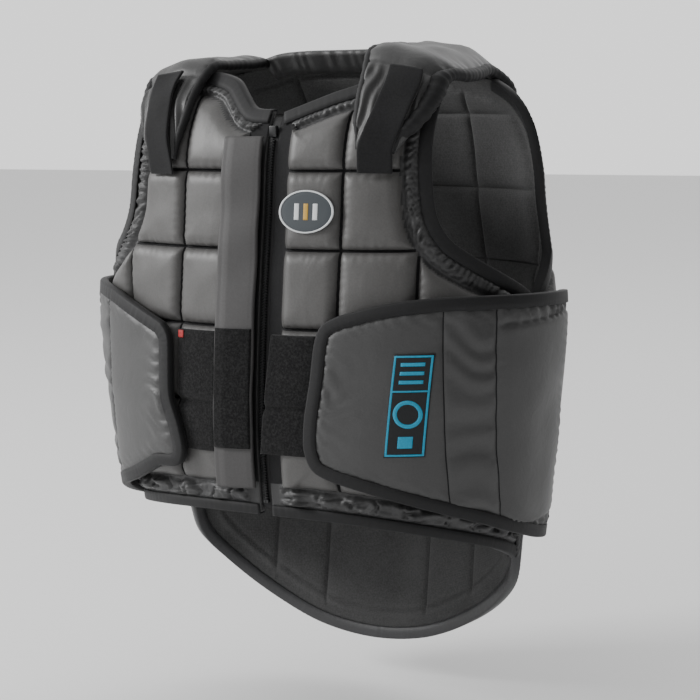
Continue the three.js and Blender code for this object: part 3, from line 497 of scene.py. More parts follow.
def quilt(name, outline, seams_u, seams_z, nodes, back=False, lift=0.0, web=WEB, rise=BLOCK_RISE,
          under=BLOCK_UNDER, step=2.6, seed=1, soft=12.0, margin_puff=5.2, bulge=1.2, creases=None,
          facing=0.0, flare=None, cover=None, thread_and_shade_reach=1.8, beside=1.3, hem_top=-1000.0):
    """A quilted panel: foam blocks between stitched seams, a gathered margin and a lining on the inner face.

    The panel lies lift above the form; web, rise and under are its half thickness at a seam, the height of a
    block outwards and its depth inwards. A negative margin in the outline is a flat one, under dark tape.
    """
    low = outline.points.min(axis=0)
    high = outline.points.max(axis=0)
    columns = grid_lines(low[0], high[0], seams_u, step, beside)
    rows = grid_lines(low[1], high[1], seams_z, step, beside)
    nu = len(columns) - 1
    nz = len(rows) - 1
    bm, s, t = flat_grid(nu, nz)
    i = np.rint(s * nu).astype(int)
    j = np.rint(t * nz).astype(int)
    u = columns[i]
    z = rows[j]
    distance, place, margin, closest = outline.nearest(u, z)
    taped = margin < 0
    beside_hem = taped & (z < hem_top)
    margin = np.where(beside_hem, HEM_BAND, np.abs(margin))
    taped = taped & ~beside_hem
    verts = list(bm.verts)
    # faces past the outline go, and the cloth beside it is moved onto it
    gone = [verts[k] for k in np.nonzero(distance < -0.5 * step)[0]]
    bmesh.ops.delete(bm, geom=gone, context="VERTS")
    keep = distance >= -0.5 * step
    i, j, u, z, distance, place = (values[keep] for values in (i, j, u, z, distance, place))
    margin, taped, closest = (values[keep] for values in (margin, taped, closest))
    near = distance < 0.5 * step
    u = np.where(near, closest[:, 0], u)
    z = np.where(near, closest[:, 1], z)
    distance = np.where(near, 0.0, distance)
    lower = list(bm.verts)
    made = bmesh.ops.extrude_face_region(bm, geom=list(bm.faces), use_keep_orig=True)
    outer = [item for item in made["geom"] if isinstance(item, bmesh.types.BMVert)]
    seam_u = seam_distance(u, seams_u)
    seam_z = seam_distance(z, seams_z)
    field = np.clip(distance - margin, 0, None)
    full = swell(seam_u - 0.3, soft) * swell(seam_z - 0.3, soft) * swell(field, soft)
    # puckers run across each seam, and die out on the foam
    pull = wave(u, z, seed, 26.0)
    pucker_u = np.sin(z * 2 * math.pi / 7.5 + 2.2 * pull) * np.exp(-(seam_u / 6.5) ** 2) * (seam_u > 0.6)
    pucker_z = np.sin(u * 2 * math.pi / 8.5 + 2.2 * pull) * np.exp(-(seam_z / 6.5) ** 2) * (seam_z > 0.6)
    dents = wave(u, z, seed + 5, 46.0)
    centre = np.clip(np.minimum(np.minimum(seam_u, seam_z), field) / 30.0, 0, 1)
    top = web + (rise - bulge - web) * full + bulge * np.sin(centre * math.pi / 2) * full
    top += 0.35 * (pucker_u + pucker_z) * np.clip(field / 6, 0, 1) + 0.35 * dents * full
    # gathered margin between the edge tape and the foam
    band = np.clip((distance - BINDING_LEG) / 3, 0, 1) * np.clip((margin - 1.5 - distance) / 4.5, 0, 1)
    band = band * (margin > 9) * ~taped
    crumpled = margin > HEM_BAND - 1
    slant = place + 0.5 * distance * np.sign(wave(place, place * 0, seed + 8, 90.0))
    gather = np.sin(slant * 2 * math.pi / 12.0 + 3.4 * wave(place, distance * 1.6, seed + 9, 44.0))
    small = np.sin(slant * 2 * math.pi / 6.3 + 3.0 * wave(place, distance * 2, seed + 10, 26.0))
    gather = 0.8 * (2 * np.abs(gather) ** 0.8 - 1) + 0.35 * small
    lumps = wave(u, z * 2.5, seed + 11, 26.0)
    folded = np.exp(-(wave(u, z * 2.6, seed + 12, 34.0) / 0.13) ** 2)
    crumple = 8.5 * (0.6 + 0.4 * lumps) - 5.0 * folded + 0.6 * gather
    reach = np.abs(outline.points[:, 0]).max()
    crumple = crumple * np.clip((reach - np.abs(u) - 9) / 14, 0, 1)
    top += band * np.where(crumpled, crumple, margin_puff * (0.55 + 0.5 * gather))
    if creases:
        top += creases(u, z, distance)
    bottom = -web - (under - web) * full - 0.25 * band * gather
    if facing:
        # a facing of satin lies inside the edge tape, with a stitched line along its inner side
        on_facing = np.clip((facing - distance) / 2.0, 0, 1)
        bottom += (under - web) * 0.55 * np.exp(-((distance - facing) / 1.6) ** 2) * full
        bottom -= on_facing * 0.7 * (distance > BINDING_LEG) * (1 + gather * 0.5)
    stand = lift + (flare(u, z) if flare else 0)
    low_places = FORM.at(u, z, stand + bottom, back)
    high_places = FORM.at(u, z, stand + top, back)
    for k, vert in enumerate(lower):
        vert.co = Vector(low_places[k]) * MM
    # the new vertices sit where the old ones were, so their cell of the grid tells which is which
    cell = {(a, b): k for k, (a, b) in enumerate(zip(i, j))}
    owner = {vert: cell[(round((vert.co.x + 0.5) * nu), round((vert.co.y + 0.5) * nz))] for vert in outer}
    for vert, k in owner.items():
        vert.co = Vector(high_places[k]) * MM
    bmesh.ops.recalc_face_normals(bm, faces=bm.faces)
    # satin outside, gathered satin with painted shade in the margins, lining inside, thread with painted seam
    # shade along the seams
    for face in bm.faces:
        face.material_index = 2
        if not all(vert in owner for vert in face.verts):
            continue
        ks = [owner[vert] for vert in face.verts]
        in_margin = np.mean([distance[k] < margin[k] + 1.0 for k in ks]) > 0.5
        # faces this close to a seam get the charcoal thread colour; most of that width is painted shade of
        # the seam groove
        in_thread_and_shade = min(max(seam_u[k] for k in ks), max(seam_z[k] for k in ks)) < thread_and_shade_reach
        face.material_index = 0
        # the gathered margins get the same satin painted darker, a painted shade of their creases
        if in_margin and margin[ks[0]] > 9:
            face.material_index = 1
        if in_margin and taped[ks[0]] or in_thread_and_shade and not in_margin:
            face.material_index = 3
    piece = finish_mesh(bm, name, [cover or SATIN, SATIN_GATHER_PAINTED_SHADE, LINING, THREAD_AND_SEAM_SHADE])
    return dress(piece, nodes)


def tape_edge(name, outline, arcs, nodes, back=False, lift=0.0, web=WEB, leg=BINDING_LEG, thick=1.5,
              clear=0.5, material=TAPE, puff=0.25, trim=(0.8, 0.8), seed=3, spacing=2.4,
              ripple=5.0, flare=None):
    """Edge tape folded over an edge: a soft channel whose legs lie on both faces."""
    q, inward, run = outline.stations(arcs, spacing)
    total = run[-1]

    def place(s, t):
        along = trim[0] + s * (total - trim[0] - trim[1])
        share = np.interp(along, run, np.arange(len(run)))
        k = np.clip(share.astype(int), 0, len(run) - 2)
        f = (share - k)[:, None]
        p = q[k] * (1 - f) + q[k + 1] * f
        n = inward[k] * (1 - f) + inward[k + 1] * f
        low = web + clear
        high = low + thick
        section = np.array([
            (leg, low + 0.2), (leg * 0.5, low), (-clear, low), (-clear, 0), (-clear, -low), (leg * 0.5, -low),
            (leg, -low - 0.2), (leg + 0.5, -low - thick * 0.5), (leg, -high - 0.1), (leg * 0.5, -high),
            (-clear, -high + 0.1), (-clear - thick * 0.8, -high + 0.6), (-clear - thick, 0),
            (-clear - thick * 0.8, high - 0.6), (-clear, high - 0.1), (leg * 0.5, high), (leg, high + 0.1),
            (leg + 0.5, low + thick * 0.5), (leg, low + 0.2),
        ])
        at = t * (len(section) - 1)
        inset = np.interp(at, np.arange(len(section)), section[:, 0])
        height = np.interp(at, np.arange(len(section)), section[:, 1])
        outside = np.clip((np.abs(height) - low) / thick, 0, 1)
        crinkle = np.sin(along * 2 * math.pi / ripple + 2.5 * wave(along, along * 0, seed, 30.0))
        height = height + np.sign(height) * outside * puff * crinkle
        stand = lift + (flare(p[:, 0], p[:, 1]) if flare else 0)
        return FORM.at(p[:, 0] + n[:, 0] * inset, p[:, 1] + n[:, 1] * inset, stand + height, back)

    piece = swept(name, [material], place, max(int(total / spacing), 4), 18)
    return dress(piece, nodes)


def swing(points, side):
    """The same points for the wearer's left (1) or right (-1) side."""
    return [(u * side, z) for u, z in points]


def margin_of_armhole(share):
    """The gathered margin is widest half-way down the armhole."""
    return EDGE_FLANGE + (ARMHOLE_FLANGE - EDGE_FLANGE) * math.sin(math.pi * share)


FRONT_ROWS = [-90 - 67.8 * k for k in range(4)]
FRONT_COLUMNS = [82, 150, 207]
ARMHOLE_CURVE = [
    (ARMHOLE_FRONT, -14), (ARMHOLE_FRONT - 1, -62), (ARMHOLE_FRONT + 1, -104), (ARMHOLE_FRONT + 6, -132),
    (ARMHOLE_FRONT + 18, -151), (ARMHOLE_FRONT + 37, -165), (ARMHOLE_FRONT + 62, -180),
    (SIDE_AT, -ARMHOLE_BOTTOM),
]
LEFT_EDGE = ZIP_AT + ZIP_HALF
RIGHT_EDGE = ZIP_AT - ZIP_HALF
NECK_LEFT = [(LEFT_EDGE, -NECK_DROP + 2), (28, -37), (58, -26), (88, -16), (104, -3)]
NECK_RIGHT = [(-RIGHT_EDGE, -NECK_DROP + 4), (20, -38), (34, -27), (50, -14), (76, -7), (104, -3)]


def hem_curve(start, side_drop):
    """Points of the hem from the side seam to the zip; it drops towards the side."""
    return [(start + (SIDE_AT - start) * s, -HEM_DROP - (side_drop - HEM_DROP) * s ** 2.4)
            for s in (1, 0.82, 0.6, 0.35, 0.15, 0)]


def front_outline(side, front, neck):
    """Outline of one front. The right hem rises a little at the side, as it does under its flap."""
    side_drop = HEM_SIDE_DROP if side > 0 else HEM_SIDE_DROP - 20
    return Outline([
        ("neck", swing(neck, side), EDGE_FLANGE),
        ("top", swing([(104, -3), (ARMHOLE_FRONT, -14)], side), EDGE_FLANGE),
        ("armhole", swing(ARMHOLE_CURVE, side), margin_of_armhole),
        ("side", swing([(SIDE_AT, -ARMHOLE_BOTTOM), (SIDE_AT, -side_drop)], side), EDGE_FLANGE),
        ("hem", swing(hem_curve(front, side_drop), side), HEM_BAND),
        ("zip", swing([(front, -HEM_DROP), neck[0]], side), -14.0 if side > 0 else -20.0),
    ])


def right_flare(u, z):
    """The right front stands off the form a little beside the arm."""
    beside = np.clip((np.abs(u) - 120) / 36, 0, 1) ** 1.5
    return beside * np.interp(-z, [0, 40, 100, 160, 190, 215], [0, 3.0, 6.0, 7.0, 4.0, 0])


FRONTS = ((1, LEFT_EDGE, NECK_LEFT, "left", 11), (-1, -RIGHT_EDGE, NECK_RIGHT, "right", 23))
for side, front, neck, word, seed in FRONTS:
    outline = front_outline(side, front, neck)
    flare = right_flare if side < 0 else None
    quilt(f"quilted_front_{word}", outline, [c * side for c in FRONT_COLUMNS], FRONT_ROWS,
          [f"front_panel_{word}"], seed=seed, hem_top=HEM_BAND + 0.5 - HEM_DROP, step=1.75,
          flare=flare)
    tape_edge(f"neck_tape_{word}", outline, ["neck"], [f"neck_binding_{word}"], seed=seed)
    tape_edge(f"armhole_tape_{word}", outline, ["armhole", "side"], [f"armhole_binding_{word}"],
              seed=seed + 1, flare=flare)
    tape_edge(f"hem_tape_{word}", outline, ["hem"], [f"hem_binding_{word}"], seed=seed + 2, leg=7.5)


def back_half(z):
    """Half width of the back round the form at one height."""
    return float(FORM.half_girth(z)) - SIDE_AT - SIDE_GAP


BACK_NECK = [(BACK_NECK_HALF * s, BACK_NECK_RISE - 6 * abs(s) ** 5) for s in (-1, -0.8, -0.5, 0, 0.5, 0.8, 1)]
BACK_ARMHOLE = [
    (164, -20), (ARMHOLE_BACK - 31, -34), (ARMHOLE_BACK - 13, -56), (ARMHOLE_BACK - 3, -86),
    (ARMHOLE_BACK, -118), (ARMHOLE_BACK + 1, -148), (ARMHOLE_BACK + 8, -176),
    (back_half(-ARMHOLE_BOTTOM), -ARMHOLE_BOTTOM),
]
BACK_SIDE = [(back_half(z), z) for z in np.linspace(-ARMHOLE_BOTTOM, -BACK_SEAM, 4)]
back_outline = Outline([
    ("neck", BACK_NECK, EDGE_FLANGE),
    ("top", [BACK_NECK[-1], BACK_ARMHOLE[0]], EDGE_FLANGE),
    ("armhole_left", BACK_ARMHOLE, margin_of_armhole),
    ("side_left", BACK_SIDE, EDGE_FLANGE),
    ("bottom", [BACK_SIDE[-1], (-BACK_SIDE[-1][0], -BACK_SEAM)], EDGE_FLANGE),
    ("side_right", swing(BACK_SIDE, -1)[::-1], EDGE_FLANGE),
    ("armhole_right", swing(BACK_ARMHOLE, -1)[::-1], margin_of_armhole),
    ("top_right", [swing(BACK_ARMHOLE, -1)[0], BACK_NECK[0]], EDGE_FLANGE),
])
BACK_COLUMNS = [-199, -122, -58, 58, 122, 199]


def arm_flare(u, z):
    """The back stands off the form beside the arms, most at shoulder-blade height."""
    beside = np.clip((np.abs(u) - 120) / 80, 0, 1) ** 1.5
    height = np.interp(-z, [0, 25, 60, 100, 170, 198, 230], [0, 4.0, 8.5, 11.0, 10.5, 4.0, 0])
    return beside * height


quilt("quilted_back", back_outline, BACK_COLUMNS, [-50 - 67.8 * k for k in range(5)], ["back_panel"],
      back=True, seed=41, margin_puff=2.6, step=2.3, flare=arm_flare)
tape_edge("neck_roll", back_outline, ["neck"], ["back_neck_roll"], back=True, leg=14, thick=6.0, clear=0.6,
          material=PAD_SATIN, puff=0.5, seed=47, ripple=14.0)
tape_edge("back_armhole_tape_left", back_outline, ["armhole_left", "side_left"],
          ["back_armhole_binding_left"], back=True, seed=48, trim=(0.8, 3.0), flare=arm_flare)
tape_edge("back_armhole_tape_right", back_outline, ["side_right", "armhole_right"],
          ["back_armhole_binding_right"], back=True, seed=49, trim=(3.0, 0.8), flare=arm_flare)

TAIL_TOP = -BACK_SEAM - 0.3
TAIL_HALF = back_half(TAIL_TOP) - 1
TAIL_CURVE = [
    (back_half(-BACK_SEAM - 27) - 2, -BACK_SEAM - 27), (192, -460), (157, -494), (112, -525), (60, -548),
    (0, -TAIL_DROP),
]
tail_outline = Outline([
    ("top", [(-TAIL_HALF, TAIL_TOP), (TAIL_HALF, TAIL_TOP)], EDGE_FLANGE),
    ("side_left", [(TAIL_HALF, TAIL_TOP), TAIL_CURVE[0]], EDGE_FLANGE),
    ("curve", TAIL_CURVE + swing(TAIL_CURVE, -1)[::-1][1:], EDGE_FLANGE),
    ("side_right", [swing(TAIL_CURVE, -1)[0], (-TAIL_HALF, TAIL_TOP)], EDGE_FLANGE),
])
quilt("quilted_tail", tail_outline, [-113, -57, 57, 113], [], ["tail_flap"], back=True, rise=BLOCK_RISE - 3,
      under=BLOCK_UNDER - 1, seed=53, facing=27.0, margin_puff=2.0)
tape_edge("tail_tape", tail_outline, ["side_left", "curve", "side_right"], ["tail_binding"], back=True,
          seed=54, trim=(3.0, 3.0), material=TAIL_TAPE)


def flap_creases(seed, side):
    """Relief of a wrap flap: its padded rear part, puckers beside the tape and slack in the middle."""
    def creases(u, z, distance):
        out = np.abs(u)
        # the rear section is padded between two gathered strips
        rear = np.clip((out - 209.5) / 2, 0, 1)
        strips = np.clip((z + 223) / 2, 0, 1) + np.clip((-404 - z) / 2, 0, 1)
        stitched = np.exp(-((z + 222) / 1.5) ** 2) + np.exp(-((z + 405) / 1.5) ** 2)
        crinkle = np.sin(out * 2 * math.pi / 10 + 3 * wave(u, z, seed + 3, 30.0))
        pad = 1.6 * (1 - strips) * np.clip((out - 211) / 8, 0, 1)
        padded = rear * (pad + 1.1 * strips * crinkle - 1.6 * stitched)
        # the right flap puckers along the middle of its front tape
        middle = np.exp(-((z + 282) / 42) ** 2)
        pulled = np.clip((112 - out) / 25, 0, 1) * middle * np.clip((distance - 8) / 3, 0, 1)
        pucker = np.sin((z + 0.35 * u) * 2 * math.pi / 15 + 2.5 * wave(u, z, seed + 4, 34.0))
        pulled = pulled * pucker * (2.2 if side < 0 else 0.6)
        # slack folds cross the middle section
        middle_part = np.clip((out - 168) / 6, 0, 1) * np.clip((212 - out) / 6, 0, 1)
        across = 0.825 * middle_part * np.sin(z * 2 * math.pi / 27 + 3.0 * wave(u, z, seed, 70.0))
        beside_tape = 0.6 * np.exp(-((distance - 13) / 6.0) ** 2) * (distance > 8)
        along = beside_tape * np.sin((u + 1.3 * z) * 2 * math.pi / 13 + 2.5 * wave(u, z, seed + 1, 40.0))
        swells = 0.8 * wave(u, z, seed + 2, 80.0) * np.clip(distance / 20, 0, 1)
        return across + along + padded + pulled + swells
    return creases


FLAP_LEFT = {
    "front": [(82, -351), (68, -343), (62, -328), (62, -304), (67, -268), (72, -228), (77, -219), (90, -212)],
    "top": [(90, -212), (124, -203), (163, -198), (205, -198), (250, -201), (FLAP_END, -206)],
    "bottom": [(FLAP_END, -432), (262, -423), (224, -408), (183, -388), (135, -369), (82, -351)],
}
FLAP_RIGHT = {
    "front": [(96, -353), (72, -349), (66, -337), (70, -316), (80, -290), (82, -260), (84, -236), (92, -226)],
    "top": [(92, -226), (128, -213), (166, -202), (205, -199), (250, -201), (FLAP_END, -206)],
    "bottom": [(FLAP_END, -432), (262, -423), (224, -408), (183, -389), (135, -372), (96, -353)],
}
FLAPS = ((1, FLAP_LEFT, "left", FLAP_LIFT_LEFT, 61), (-1, FLAP_RIGHT, "right", FLAP_LIFT_RIGHT, 71))
for side, shape, word, lift, seed in FLAPS:
    outline = Outline([
        ("front", swing(shape["front"], side), 9.0),
        ("top", swing(shape["top"], side), 9.0),
        ("rear", swing([shape["top"][-1], shape["bottom"][0]], side), 8.0),
        ("bottom", swing(shape["bottom"], side), 9.0),
    ])
    quilt(f"wrap_flap_{word}", outline, [171 * side, 209 * side], [], [f"waist_flap_{word}"], lift=lift,
          web=2.0, rise=4.2, under=3.0, soft=7.0, bulge=0.4, seed=seed,
          creases=flap_creases(seed, side), cover=FLAP_SATIN, thread_and_shade_reach=0.6, beside=0.5)
    tape_edge(f"flap_tape_{word}", outline, ["bottom", "front", "top"], [f"flap_binding_{word}"], lift=lift,
              web=2.0, seed=seed + 1)


# Zip, its tape and the cloth guard over it

def ribbon(name, materials, us, zs, bottom, top, along, across,
           slant=None, seed=5, ripple=0.0, relief=None, rounded=0.35):
    """A flat band on the form: u from us[0] to us[1], z from zs[0] to zs[1], heights bottom to top."""

    def place(s, t):
        z = zs[0] + s * (zs[1] - zs[0])
        section = np.array([(0, 0), (0, 1), (0.04, 1), (0.5, 1), (0.96, 1), (1, 1), (1, 0), (0.5, 0), (0, 0)])
        knots = np.array([0, 0.06, 0.1, 0.3, 0.5, 0.54, 0.6, 0.8, 1.0])
        share = np.interp(t, knots, section[:, 0])
        level = np.interp(t, knots, section[:, 1])
        u = us[0] + share * (us[1] - us[0]) + (slant(z) if slant else 0)
        low = bottom(u, z) if callable(bottom) else bottom
        high = top(u, z) if callable(top) else top
        lifted = relief(u, z) if relief else 0
        edge = np.minimum(share, 1 - share) * abs(us[1] - us[0])
        soft = rounded * np.clip(1 - edge / 1.2, 0, 1) * level
        height = low + (high - low) * level - soft + lifted
        height = height + ripple * wave(u * 0.6, z, seed, 24.0) * level
        return FORM.at(u, z, height)

    return swept(name, materials, place, along, across)


def guard_top(u, z):
    """Height of the guard: flat on the blocks, then sloping down to the zip."""
    return BLOCK_RISE + 4.5 - 7 * np.clip((u - PLACKET_EDGE) / 37 - 0.3, 0, None)


zip_cloth = ribbon("zip_tape_cloth", [TAPE], (2.3, 13.7), (-45, -387), -0.6, 0.6, 90, 16)
dress(zip_cloth, ["zip_tape"])

# zip teeth: moulded blocks that lock left and right in turn
bm = bmesh.new()
for k in range(132):
    z = -64.0 - 2.4 * k
    for side in (-1, 1):
        u = 8.0 + side * 0.75
        centre = FORM.at(u, z - 0.6 * side, 2.1)
        made = bmesh.ops.create_cube(bm, size=1.0)["verts"]
        bmesh.ops.scale(bm, vec=(3.1 * MM, 2.0 * MM, 1.15 * MM), verts=made)
        bmesh.ops.translate(bm, vec=Vector(centre) * MM, verts=made)
for side in (-1, 1):
    made = bmesh.ops.create_cube(bm, size=1.0)["verts"]
    bmesh.ops.scale(bm, vec=(2.4 * MM, 2.4 * MM, 3.0 * MM), verts=made)
    bmesh.ops.translate(bm, vec=Vector(FORM.at(8.0 + side * 1.3, -380, 2.1)) * MM, verts=made)
bmesh.ops.bevel(bm, geom=list(bm.edges), offset=0.28 * MM, segments=1, profile=0.5, affect="EDGES",
                material=-1)
dress(finish_mesh(bm, "zip_teeth", [ACETAL], smooth=False), ["zip_chain"])

bm = bmesh.new()
for size, middle in (((7.6, 4.6, 10.0), (8, -56.5, 3.2)), ((2.8, 1.4, 4.6), (8, -54.0, 5.4))):
    made = bmesh.ops.create_cube(bm, size=1.0)["verts"]
    bmesh.ops.scale(bm, vec=[value * MM for value in size], verts=made)
    bmesh.ops.translate(bm, vec=Vector(FORM.at(*middle)) * MM, verts=made)
bmesh.ops.bevel(bm, geom=list(bm.edges), offset=0.9 * MM, segments=3, profile=0.5, affect="EDGES",
                material=-1)
dress(finish_mesh(bm, "zip_slider_body", [ACETAL]), ["zip_slider"])


def guard_relief(u, z):
    """The guard bows slightly, and has a stitched line near its fold and a shallow line near its other edge.
    """
    fold = np.exp(-((u - PLACKET_EDGE - 5) / 1.0) ** 2)
    return 0.5 * wave(u, z, 77, 60.0) - 0.35 * fold - 0.3 * np.exp(-((u - 0.5) / 1.0) ** 2)


guard = ribbon("zip_guard", [GUARD], (PLACKET_EDGE, PLACKET_EDGE + 37), (-60, -367),
               lambda u, z: guard_top(u, z) - 3.2, guard_top, 130, 60, relief=guard_relief, rounded=0.9)
dress(guard, ["zip_placket"])


def over_blocks(base):
    """Patches sag a little into the seams of the blocks under them."""
    def relief(u, z):
        near = np.min([np.abs(z - row) for row in FRONT_ROWS], axis=0)
        return base - 3.6 * np.exp(-(near / 3.6) ** 2)
    return relief


on_blocks = BLOCK_RISE + 0.7
PATCHES = (
    ("loop_pile_right", (-76, -34.6), (-230, -336), None, "loop_patch_right"),
    ("loop_pile_left", (23, 66), (-230, -334), lambda z: (z + 228) * 0.09, "loop_patch_left"),
)
for name, us, zs, slant, node in PATCHES:
    patch = ribbon(name, [PILE], us, zs, on_blocks - 2.0, on_blocks + 1.4, 60, 60, slant=slant,
                   relief=over_blocks(0.0), ripple=0.3)
    dress(patch, [node])
patch = ribbon("loop_pile_guard", [PILE], (-32.5, 2), (-226, -331), lambda u, z: guard_top(u, z) - 1.0,
               lambda u, z: guard_top(u, z) + 1.7, 60, 40, ripple=0.2)
dress(patch, ["loop_patch_placket"])

# Side label: woven, black, with a cyan frame, a divider and plain marks

def lean_of_label(z):
    return (z + 242) * 0.11


label_base = FLAP_LIFT_LEFT + 4.0
label_cloth = ribbon("label_cloth", [LABEL], (134.5, 165.5), (-242, -330), label_base - 1.2, label_base + 1.2,
                     24, 20, slant=lean_of_label, rounded=0.15)
dress(label_cloth, ["side_label"])
LABEL_MARKS = (
    ("label_frame_top", (135.5, 164.5), (-243.0, -244.6)),
    ("label_frame_bottom", (135.5, 164.5), (-327.4, -329.0)),
    ("label_frame_front", (135.5, 137.1), (-243.0, -329.0)),
    ("label_frame_rear", (162.9, 164.5), (-243.0, -329.0)),
    ("label_bar_one", (141.0, 159.0), (-249.0, -252.0)),
    ("label_bar_two", (141.0, 159.0), (-256.5, -259.5)),
    ("label_bar_three", (141.0, 159.0), (-264.0, -267.0)),
    ("label_divider", (135.5, 164.5), (-272.6, -274.0)),
    ("label_block", (144.5, 155.5), (-312.0, -322.0)),
)
for name, us, zs in LABEL_MARKS:
    mark = ribbon(name, [CYAN], us, zs, label_base + 0.9, label_base + 1.45, 24, 20, slant=lean_of_label,
                  rounded=0.15)
    dress(mark, [])


def oval(name, material, half, low, high, middle=(52, -123.9), hole=None):
    """A moulded oval plate on the form, or a ring of it when the hole is a share of its size."""

    def place(s, t):
        angle = s * 2 * math.pi
        section = [(0.001, high), (0.5, high), (0.94, high), (0.985, high - 0.15), (1, high - 0.5), (1, low),
                   (0.001, low)]
        if hole:
            section = [(hole, low), (hole, high - 0.2), (hole + 0.02, high), (0.98, high), (1, high - 0.25),
                       (1, low), (hole, low)]
        section = np.array(section)
        at = t * (len(section) - 1)
        radius = np.interp(at, np.arange(len(section)), section[:, 0])
        level = np.interp(at, np.arange(len(section)), section[:, 1])
        u = middle[0] + half[0] * radius * np.cos(angle)
        return FORM.at(u, middle[1] + half[1] * radius * np.sin(angle), level)

    return swept(name, [material], place, 96, 12, closed=True)


label_middle = (150 + lean_of_label(-293.0), -293.0)
label_ring = oval("label_ring", CYAN, (11.0, 12.0), label_base + 0.9, label_base + 1.45, middle=label_middle,
                  hole=0.72)
dress(label_ring, [])

# Chest badge: a moulded oval with a pale rim and three plain stripes
badge_plate = oval("badge_plate", RUBBER, (25.6, 18.2), on_blocks - 0.4, on_blocks + 1.1)
dress(badge_plate, ["chest_badge"])
dress(oval("badge_rim", RIM, (25.8, 18.4), on_blocks + 0.4, on_blocks + 1.7, hole=0.93), [])
STRIPES = (
    ("badge_stripe_one", RIM, (41.0, 45.5)), ("badge_stripe_two", GOLD, (49.8, 54.2)),
    ("badge_stripe_three", RIM, (58.5, 63.0)),
)
for name, material, us in STRIPES:
    stripe = ribbon(name, [material], us, (-117.0, -131.0), on_blocks + 0.9, on_blocks + 1.5, 10, 16,
                    rounded=0.2)
    dress(stripe, [])

# Red tab at the corner of the right patch
bm = bmesh.new()
made = bmesh.ops.create_grid(bm, x_segments=4, y_segments=4, size=0.5)["verts"]
for vert in made:
    vert.co = Vector(FORM.at(-73 + vert.co.x * 6, -233.5 + vert.co.y * 6, on_blocks + 2.1)) * MM
bmesh.ops.solidify(bm, geom=list(bm.faces), thickness=0.8 * MM)
bmesh.ops.recalc_face_normals(bm, faces=bm.faces)
dress(finish_mesh(bm, "red_tab", [RED]), ["corner_tab"])

# Shoulder pads with their rolled edges, and the straps over them
PAD_OUT = BLOCK_RISE + 1.8
PAD_THICK = 12.0
PAD_HALF = 40.0


def pad_at(share):
    return 0.6386 * CHEST_HALF_WIDTH + share * CHEST_HALF_WIDTH * 0.914


PAD_STATIONS = [
    (FORM.at(pad_at(-0.129), -74, PAD_OUT), 0.42, 15, 0, 0.5, 0.5),
    (FORM.at(pad_at(-0.113), -61, PAD_OUT), 0.55, 15, 2, 1, 0.7),
    (FORM.at(pad_at(-0.086), -40, PAD_OUT), 0.76, 14, 4, 2, 0.85),
    (FORM.at(pad_at(-0.071), -19, PAD_OUT), 0.87, 12, 6, 3, 0.95),
    (np.array([pad_at(-0.067), -FRONT_DEPTH * 0.393, -1.0]), 0.93, 5, 9, 4, 1),
    (np.array([pad_at(-0.055), -FRONT_DEPTH * 0.164, 0.5]), 0.96, 0, 10, 5, 1),
    (np.array([pad_at(-0.06), BACK_DEPTH * 0.083, 0.5]), 0.92, -2, 10, 5, 1),
    (np.array([pad_at(-0.068), BACK_DEPTH * 0.35, -0.5]), 0.86, -8, 9, 4, 1),
    (FORM.at(pad_at(-0.035), -20, PAD_OUT + 2, True), 0.8, -13, 6, 3, 0.95),
    (FORM.at(pad_at(-0.035), -40, PAD_OUT, True), 0.72, -14, 4, 2, 0.85),
    (FORM.at(pad_at(-0.04), -62, PAD_OUT, True), 0.62, -14, 2, 1, 0.6),
]


class Track:
    """Frames along a pad: middle, sideways and outwards directions, and sizes, smooth between stations."""

    def __init__(self, stations):
        middles = np.array([np.ravel(station[0]) for station in stations])
        rows = []
        for k, (middle, half, turn, tip, crown, thick) in enumerate(stations):
            travel = middles[min(k + 1, len(stations) - 1)] - middles[max(k - 1, 0)]
            travel = travel / np.linalg.norm(travel)
            a, b = math.radians(turn), math.radians(tip)
            sideways = np.array([math.cos(a) * math.cos(b), math.sin(a) * math.cos(b), -math.sin(b)])
            outwards = np.cross(sideways, travel)
            outwards /= np.linalg.norm(outwards)
            sizes = [half * PAD_HALF, crown, thick * PAD_THICK]
            rows.append(np.concatenate([middles[k], sideways, outwards, sizes]))
        self.rows = np.array(rows)
        gaps = np.linalg.norm(np.diff(middles, axis=0), axis=1)
        self.run = np.concatenate([[0], np.cumsum(gaps)])
        self.length = self.run[-1]

    def at(self, distance):
        """Smooth values at each distance along the track."""
        x, y = self.run, self.rows
        slopes = np.gradient(y, x, axis=0)
        k = np.clip(np.searchsorted(x, distance) - 1, 0, len(x) - 2)
        span = (x[k + 1] - x[k])[:, None]
        t = np.clip((distance - x[k])[:, None] / span, 0, 1)
        value = (2 * t ** 3 - 3 * t ** 2 + 1) * y[k] + (t ** 3 - 2 * t ** 2 + t) * span * slopes[k]
        value += (3 * t ** 2 - 2 * t ** 3) * y[k + 1] + (t ** 3 - t ** 2) * span * slopes[k + 1]
        return value[:, 0:3], value[:, 3:6], value[:, 6:9], value[:, 9], value[:, 10], value[:, 11]


PAD = Track(PAD_STATIONS)
PAD_SEAM_AT = 0.5 * (PAD.run[3] + PAD.run[4])
STRAP_STATIONS = [
    (FORM.at(pad_at(-0.129), -91, BLOCK_RISE + 1), 0.22, 15, 0, 0, 0),
    (FORM.at(pad_at(-0.129), -83, BLOCK_RISE + 4), 0.22, 15, 0, 0, 0),
] + PAD_STATIONS[:4] + [
    (0.6 * np.ravel(PAD_STATIONS[3][0]) + 0.4 * PAD_STATIONS[4][0], 0.9, 5, 8, 4, 1),
]
STRAP = Track(STRAP_STATIONS)

